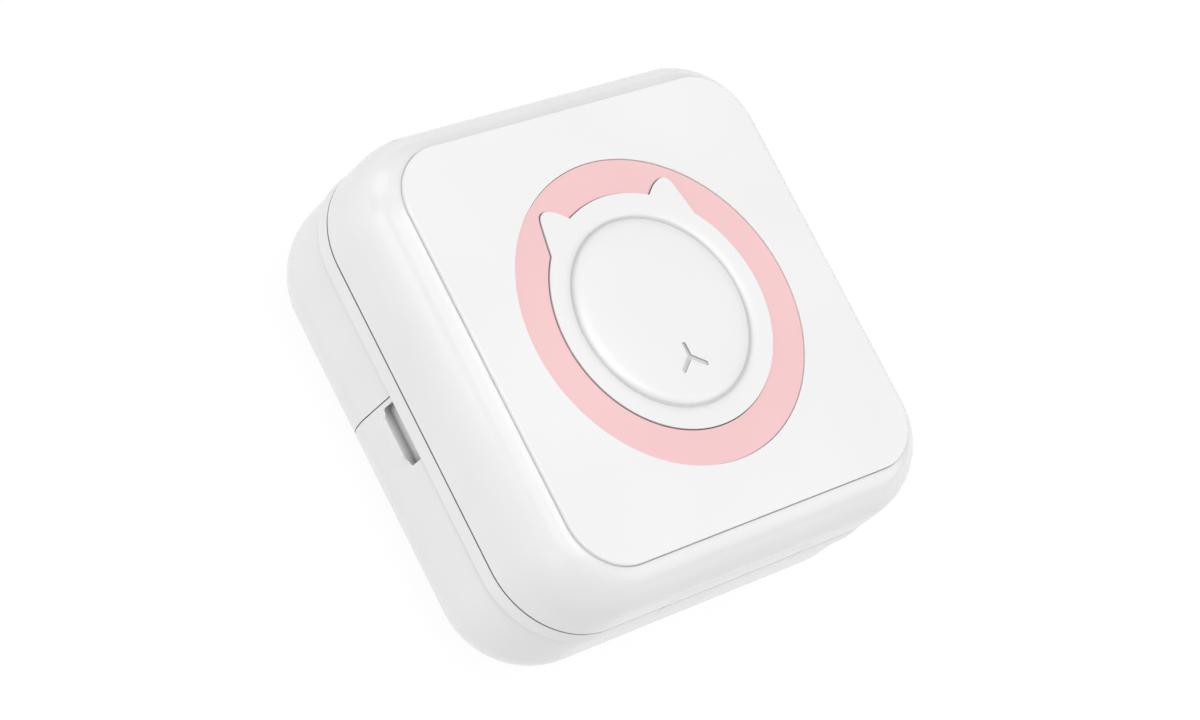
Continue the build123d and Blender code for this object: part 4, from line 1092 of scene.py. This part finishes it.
def pattern_over(parts, kind, settings, colour, low, high, depth, shift=(0, 0, 0), output="Fac"):
    """Lay a pattern over a finish: a colour where it is strong, and its height in micrometres."""
    tree, shader, place, bump = parts
    laid = add_node(tree, "ShaderNodeMapping", {"Location": shift}, {"Vector": place}).outputs["Vector"]
    pattern = add_node(tree, kind, settings, {"Vector": laid}).outputs[output]
    share = spread(tree, pattern, low, high, 0.0, 1.0)
    colour_over(tree, shader, share, colour)
    relief = {"Strength": 1.0, "Distance": depth * MICRON}
    raised = add_node(tree, "ShaderNodeBump", relief, {"Height": share, "Normal": bump.outputs["Normal"]})
    tree.links.new(raised.outputs["Normal"], shader.inputs["Normal"])


def paint_crevice_shade(parts, reach, colour, least=0.25, most=0.95):
    """Paint shade into a finish: darken it towards a colour where other faces stand within a reach in
    millimetres.
    """
    tree, shader = parts[:2]
    looking = {"samples": 8, "Color": (1, 1, 1, 1), "Distance": reach * MM}
    openness = add_node(tree, "ShaderNodeAmbientOcclusion", looking).outputs["AO"]
    # painted shade: the less open a spot is, the more its colour falls towards the darker colour
    colour_over(tree, shader, spread(tree, openness, least, most, 1.0, 0.0), colour)


def wave_scale(spacing):
    """The scale of a wave texture whose bands are so many millimetres apart."""
    bands_at_one = 2 / 6.2832
    return bands_at_one / (spacing * MM)


# %% [markdown]
# ### Mouldings
#
# Gloss ABS from a polished tool is almost a mirror, softened by flow and cooling: that is a slow
# change of tone over some centimetres and a skin of very low waves, about 2 mm from crest to crest.
# The ring is the same plastic with a little red pigment. The works are made of duller plastics.

# %% Gloss plastics outside
white = finish(
    "white_housing", "gloss white moulded ABS", ("EEEEEE", "F1F1F1"), (0.2, 0.23), 2.2,
    height=0.5, ior=1.54, mix=0.08,
)
# painted shade: the housing's white falls towards grey 989898 in seams, recesses and under the band
paint_crevice_shade(white, 3.0, "989898", 0.35)
finish(
    "white_panel", "gloss white ABS plate", ("EFEFEF", "F2F2F2"), (0.17, 0.2), 2.6,
    height=0.4, ior=1.54, mix=0.08,
)
key = finish(
    "white_button", "soft gloss white ABS key", ("EFEFEF", "F2F2F2"), (0.24, 0.27), 2.6,
    height=0.3, ior=1.54, mix=0.08,
)
# painted shade: the key's white falls towards grey B2B2B2 in its groove and round the mark
paint_crevice_shade(key, 1.8, "B2B2B2")
finish(
    "pink_ring", "gloss pale pink ABS", ("F3C6C8", "F5CACB"), (0.22, 0.25), 2.2,
    height=0.4, ior=1.54, mix=0.1,
)

# %% Plain plastics, rubber and ceramic
inner_finishes = [
    ("diffuser", "unlit frosted polycarbonate", ("D2D2D1", "DDDDDC"), (0.3, 0.42), 0.5, (1, 1, 1), 4, 1.585),
    ("black_plastic", "glass-filled black nylon", ("0D0D0E", "1B1B1D"), (0.45, 0.62), 0.35, (1, 3, 3), 8, 1.53),
    ("natural_nylon", "natural moulded acetal", ("DEDBCE", "E8E5DA"), (0.34, 0.45), 0.8, (1, 1, 1), 3, 1.48),
    ("platen_rubber", "ground silicone rubber", ("171718", "242425"), (0.55, 0.7), 0.25, (0.2, 1, 1), 12, 1.42),
    ("head_ceramic", "glazed ceramic", ("E4E1D8", "EFEDE6"), (0.1, 0.18), 1.5, (1, 1, 1), 1.5, 1.52),
]
for *row, height, ior in inner_finishes:
    finish(*row, height=height, ior=ior)

# %% Board, battery and foam with their second patterns
board = finish(
    "circuit_board", "solder mask over glass laminate", ("0B5230", "0F6239"), (0.22, 0.34), 0.4, height=3
)
weave = {"wave_type": "BANDS", "bands_direction": "X", "Scale": wave_scale(3.2), "Distortion": 4.0}
pattern_over(board, "ShaderNodeTexWave", weave, "1C7A4B", 0.72, 0.78, 30)
foil = finish(
    "battery_wrap", "laminated pouch foil", ("AEB3BA", "C0C4CA"), (0.24, 0.36), 3.0, height=12, metal=0.85
)
quilt = {"feature": "F1", "distance": "CHEBYCHEV", "Scale": 1 / (1.2 * MM), "Randomness": 0.0}
pattern_over(foil, "ShaderNodeTexVoronoi", quilt, "9FA5AD", 0.42, 0.5, 20, output="Distance")
foam = finish("foam_pad", "closed-cell foam", ("161616", "262626"), (0.9, 0.97), 0.7, height=60, ior=1.45)
cells = {"feature": "F1", "Scale": 1 / (0.6 * MM)}
pattern_over(foam, "ShaderNodeTexVoronoi", cells, "303030", 0.3, 0.6, 120, output="Distance")

# %% [markdown]
# ### Metals and paper
#
# A metal's look is the direction of its marks. Turned pins have rings, and drawn or rolled metal has
# fine lines along the strip: the same noise, squeezed along one axis, gives each. Wound paper shows
# its turns on the ends as rings, drawn four times as coarse as in the real roll, so that they show.

# %% Metals
metals = [
    ("spring_steel", "bright spring steel", ("B4B5B8", "C9CACC"), (0.2, 0.32), 0.25, (0.08, 1, 1), 2.5),
    ("screw_steel", "black-nickel screw steel", ("3C3D40", "56575B"), (0.26, 0.4), 0.2, (1, 1, 0.1), 3),
    ("nickel_shell", "nickel-plated folded steel", ("C6C4BD", "D9D7D0"), (0.14, 0.24), 0.6, (1, 1, 1), 1.5),
    ("motor_can", "zinc-plated drawn can", ("9DA1A6", "B4B7BB"), (0.28, 0.42), 0.4, (0.1, 1, 1), 3),
    ("brass", "turned brass", ("C99F4C", "DDB867"), (0.18, 0.3), 0.2, (8, 1, 1), 2),
    ("aluminium", "extruded aluminium", ("C4C7CA", "DADCDE"), (0.26, 0.4), 0.3, (0.05, 1, 1), 3),
]
for row in metals:
    finish(*row, metal=1)

# %% Paper and board
paper = finish(
    "thermal_paper", "wound thermal paper", ("E6E6E2", "F0F0EE"), (0.5, 0.64), 0.3, (0.4, 1, 1), 5
)
core = finish(
    "core_board", "wound core board", ("9C7850", "B08A60"), (0.75, 0.9), 0.35, (1, 0.3, 0.3), 25
)
turns = {"wave_type": "RINGS", "rings_direction": "X", "Scale": wave_scale(0.4), "Distortion": 0.6}
roll_axis = (0, -roll_y * MM, -roll_height * MM)
pattern_over(paper, "ShaderNodeTexWave", turns, "CFCFC9", 0.55, 0.95, 12, roll_axis)
pattern_over(core, "ShaderNodeTexWave", turns, "8A683F", 0.5, 0.9, 30, roll_axis)
print(len(finishes), "finishes")

# %% [markdown]
# ## Dressing
#
# Every piece takes the finish of its slot, whether it was modelled here or came as a solid. One
# loop over all pieces does it, so that none can be forgotten.

# %% Put the finishes on
slot_of_node = {row["node"]: row["material_slot"] for row in frame["record"]["subparts"]}
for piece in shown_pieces():
    slot = piece.get("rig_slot") or slot_of_node[piece["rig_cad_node"]]
    piece.data.materials.clear()
    piece.data.materials.append(finishes[slot])

# %% [markdown]
# ## Floor
#
# The printer lies on pure white. A floor lit until it is white would need so much light that the
# white printer would lose its form. Here it glows for the camera and for what mirrors or lets
# through light, and is matt for all other light. A small share of the matt floor is kept for the
# camera too, which leaves a trace of the printer's shadow.

# %% Lay the floor
floor_size = 6
floor_drop = 0.0002
floor_grey = 0.9
floor_glow = 1.02
white_share = 0.93
bpy.ops.mesh.primitive_plane_add(size=floor_size, location=(0, 0, -floor_drop))
floor = added("floor")
paint = bpy.data.materials.new("white studio floor")
paint.use_nodes = True
tree = paint.node_tree
matt = tree.nodes["Principled BSDF"]
matt.inputs["Base Color"].default_value = (floor_grey, floor_grey, floor_grey, 1)
matt.inputs["Roughness"].default_value = 0.9
glow = add_node(tree, "ShaderNodeEmission", {"Color": (1, 1, 1, 1), "Strength": floor_glow})
seen = add_node(tree, "ShaderNodeLightPath").outputs
larger = {"operation": "MAXIMUM"}
either = add_node(tree, "ShaderNodeMath", larger, {0: seen["Is Camera Ray"], 1: seen["Is Glossy Ray"]})
any_of = add_node(tree, "ShaderNodeMath", larger, {0: either.outputs[0], 1: seen["Is Transmission Ray"]})
less = {"operation": "MULTIPLY", 1: white_share}
share = add_node(tree, "ShaderNodeMath", less, {0: any_of.outputs[0]})
sockets = {0: share.outputs[0], 1: matt.outputs[0], 2: glow.outputs[0]}
mixed = add_node(tree, "ShaderNodeMixShader", links=sockets)
tree.links.new(mixed.outputs[0], tree.nodes["Material Output"].inputs["Surface"])
floor.data.materials.append(paint)

# %% [markdown]
# ## Light
#
# The picture was taken in a tent of broad soft light. The strongest softbox hangs overhead, the next
# stand high on the left and over the lower right edge, and one stands high on the right. Weak ones
# on the left and low round that side open the near walls without washing out their seams. Each row
# is a direction and a height in degrees, a side in metres and a power in watts.

# %% Set up the room and the softboxes
world = bpy.data.worlds.new("even white room")
world.use_nodes = True
room = world.node_tree.nodes["Background"]
room.inputs["Color"].default_value = (1, 1, 1, 1)
room.inputs["Strength"].default_value = 0.25
bpy.context.scene.world = world
aim = Vector((0, 0, 0.03))
softbox_reach = 1.0
softboxes = {
    "overhead": (0, 90, 0.8, 4.07),
    "high_left": (180, 62, 0.8, 2.43),
    "high_right": (0, 62, 0.8, 1.18),
    "lower_edge": (315, 32, 0.8, 2.17),
    "left": (180, 32, 0.8, 0.52),
    "low_left": (157.5, 13.5, 0.45, 1.0),
    "low_front": (202.5, 13.5, 0.45, 0.7),
    "low_back": (112.5, 13.5, 0.45, 1.0),
}
for name, (azimuth, height, size, power) in softboxes.items():
    flat = cos(radians(height))
    across, along = flat * cos(radians(azimuth)), flat * sin(radians(azimuth))
    place = aim + softbox_reach * Vector((across, along, sin(radians(height))))
    bpy.ops.object.light_add(type="AREA", location=place)
    lamp = bpy.context.object
    lamp.name = "softbox_" + name
    lamp.data.size = size
    lamp.data.energy = power
    lamp.rotation_euler = (aim - place).to_track_quat("-Z", "Y").to_euler()
bpy.context.scene.view_settings.view_transform = "Standard"
print(len(softboxes), "softboxes")
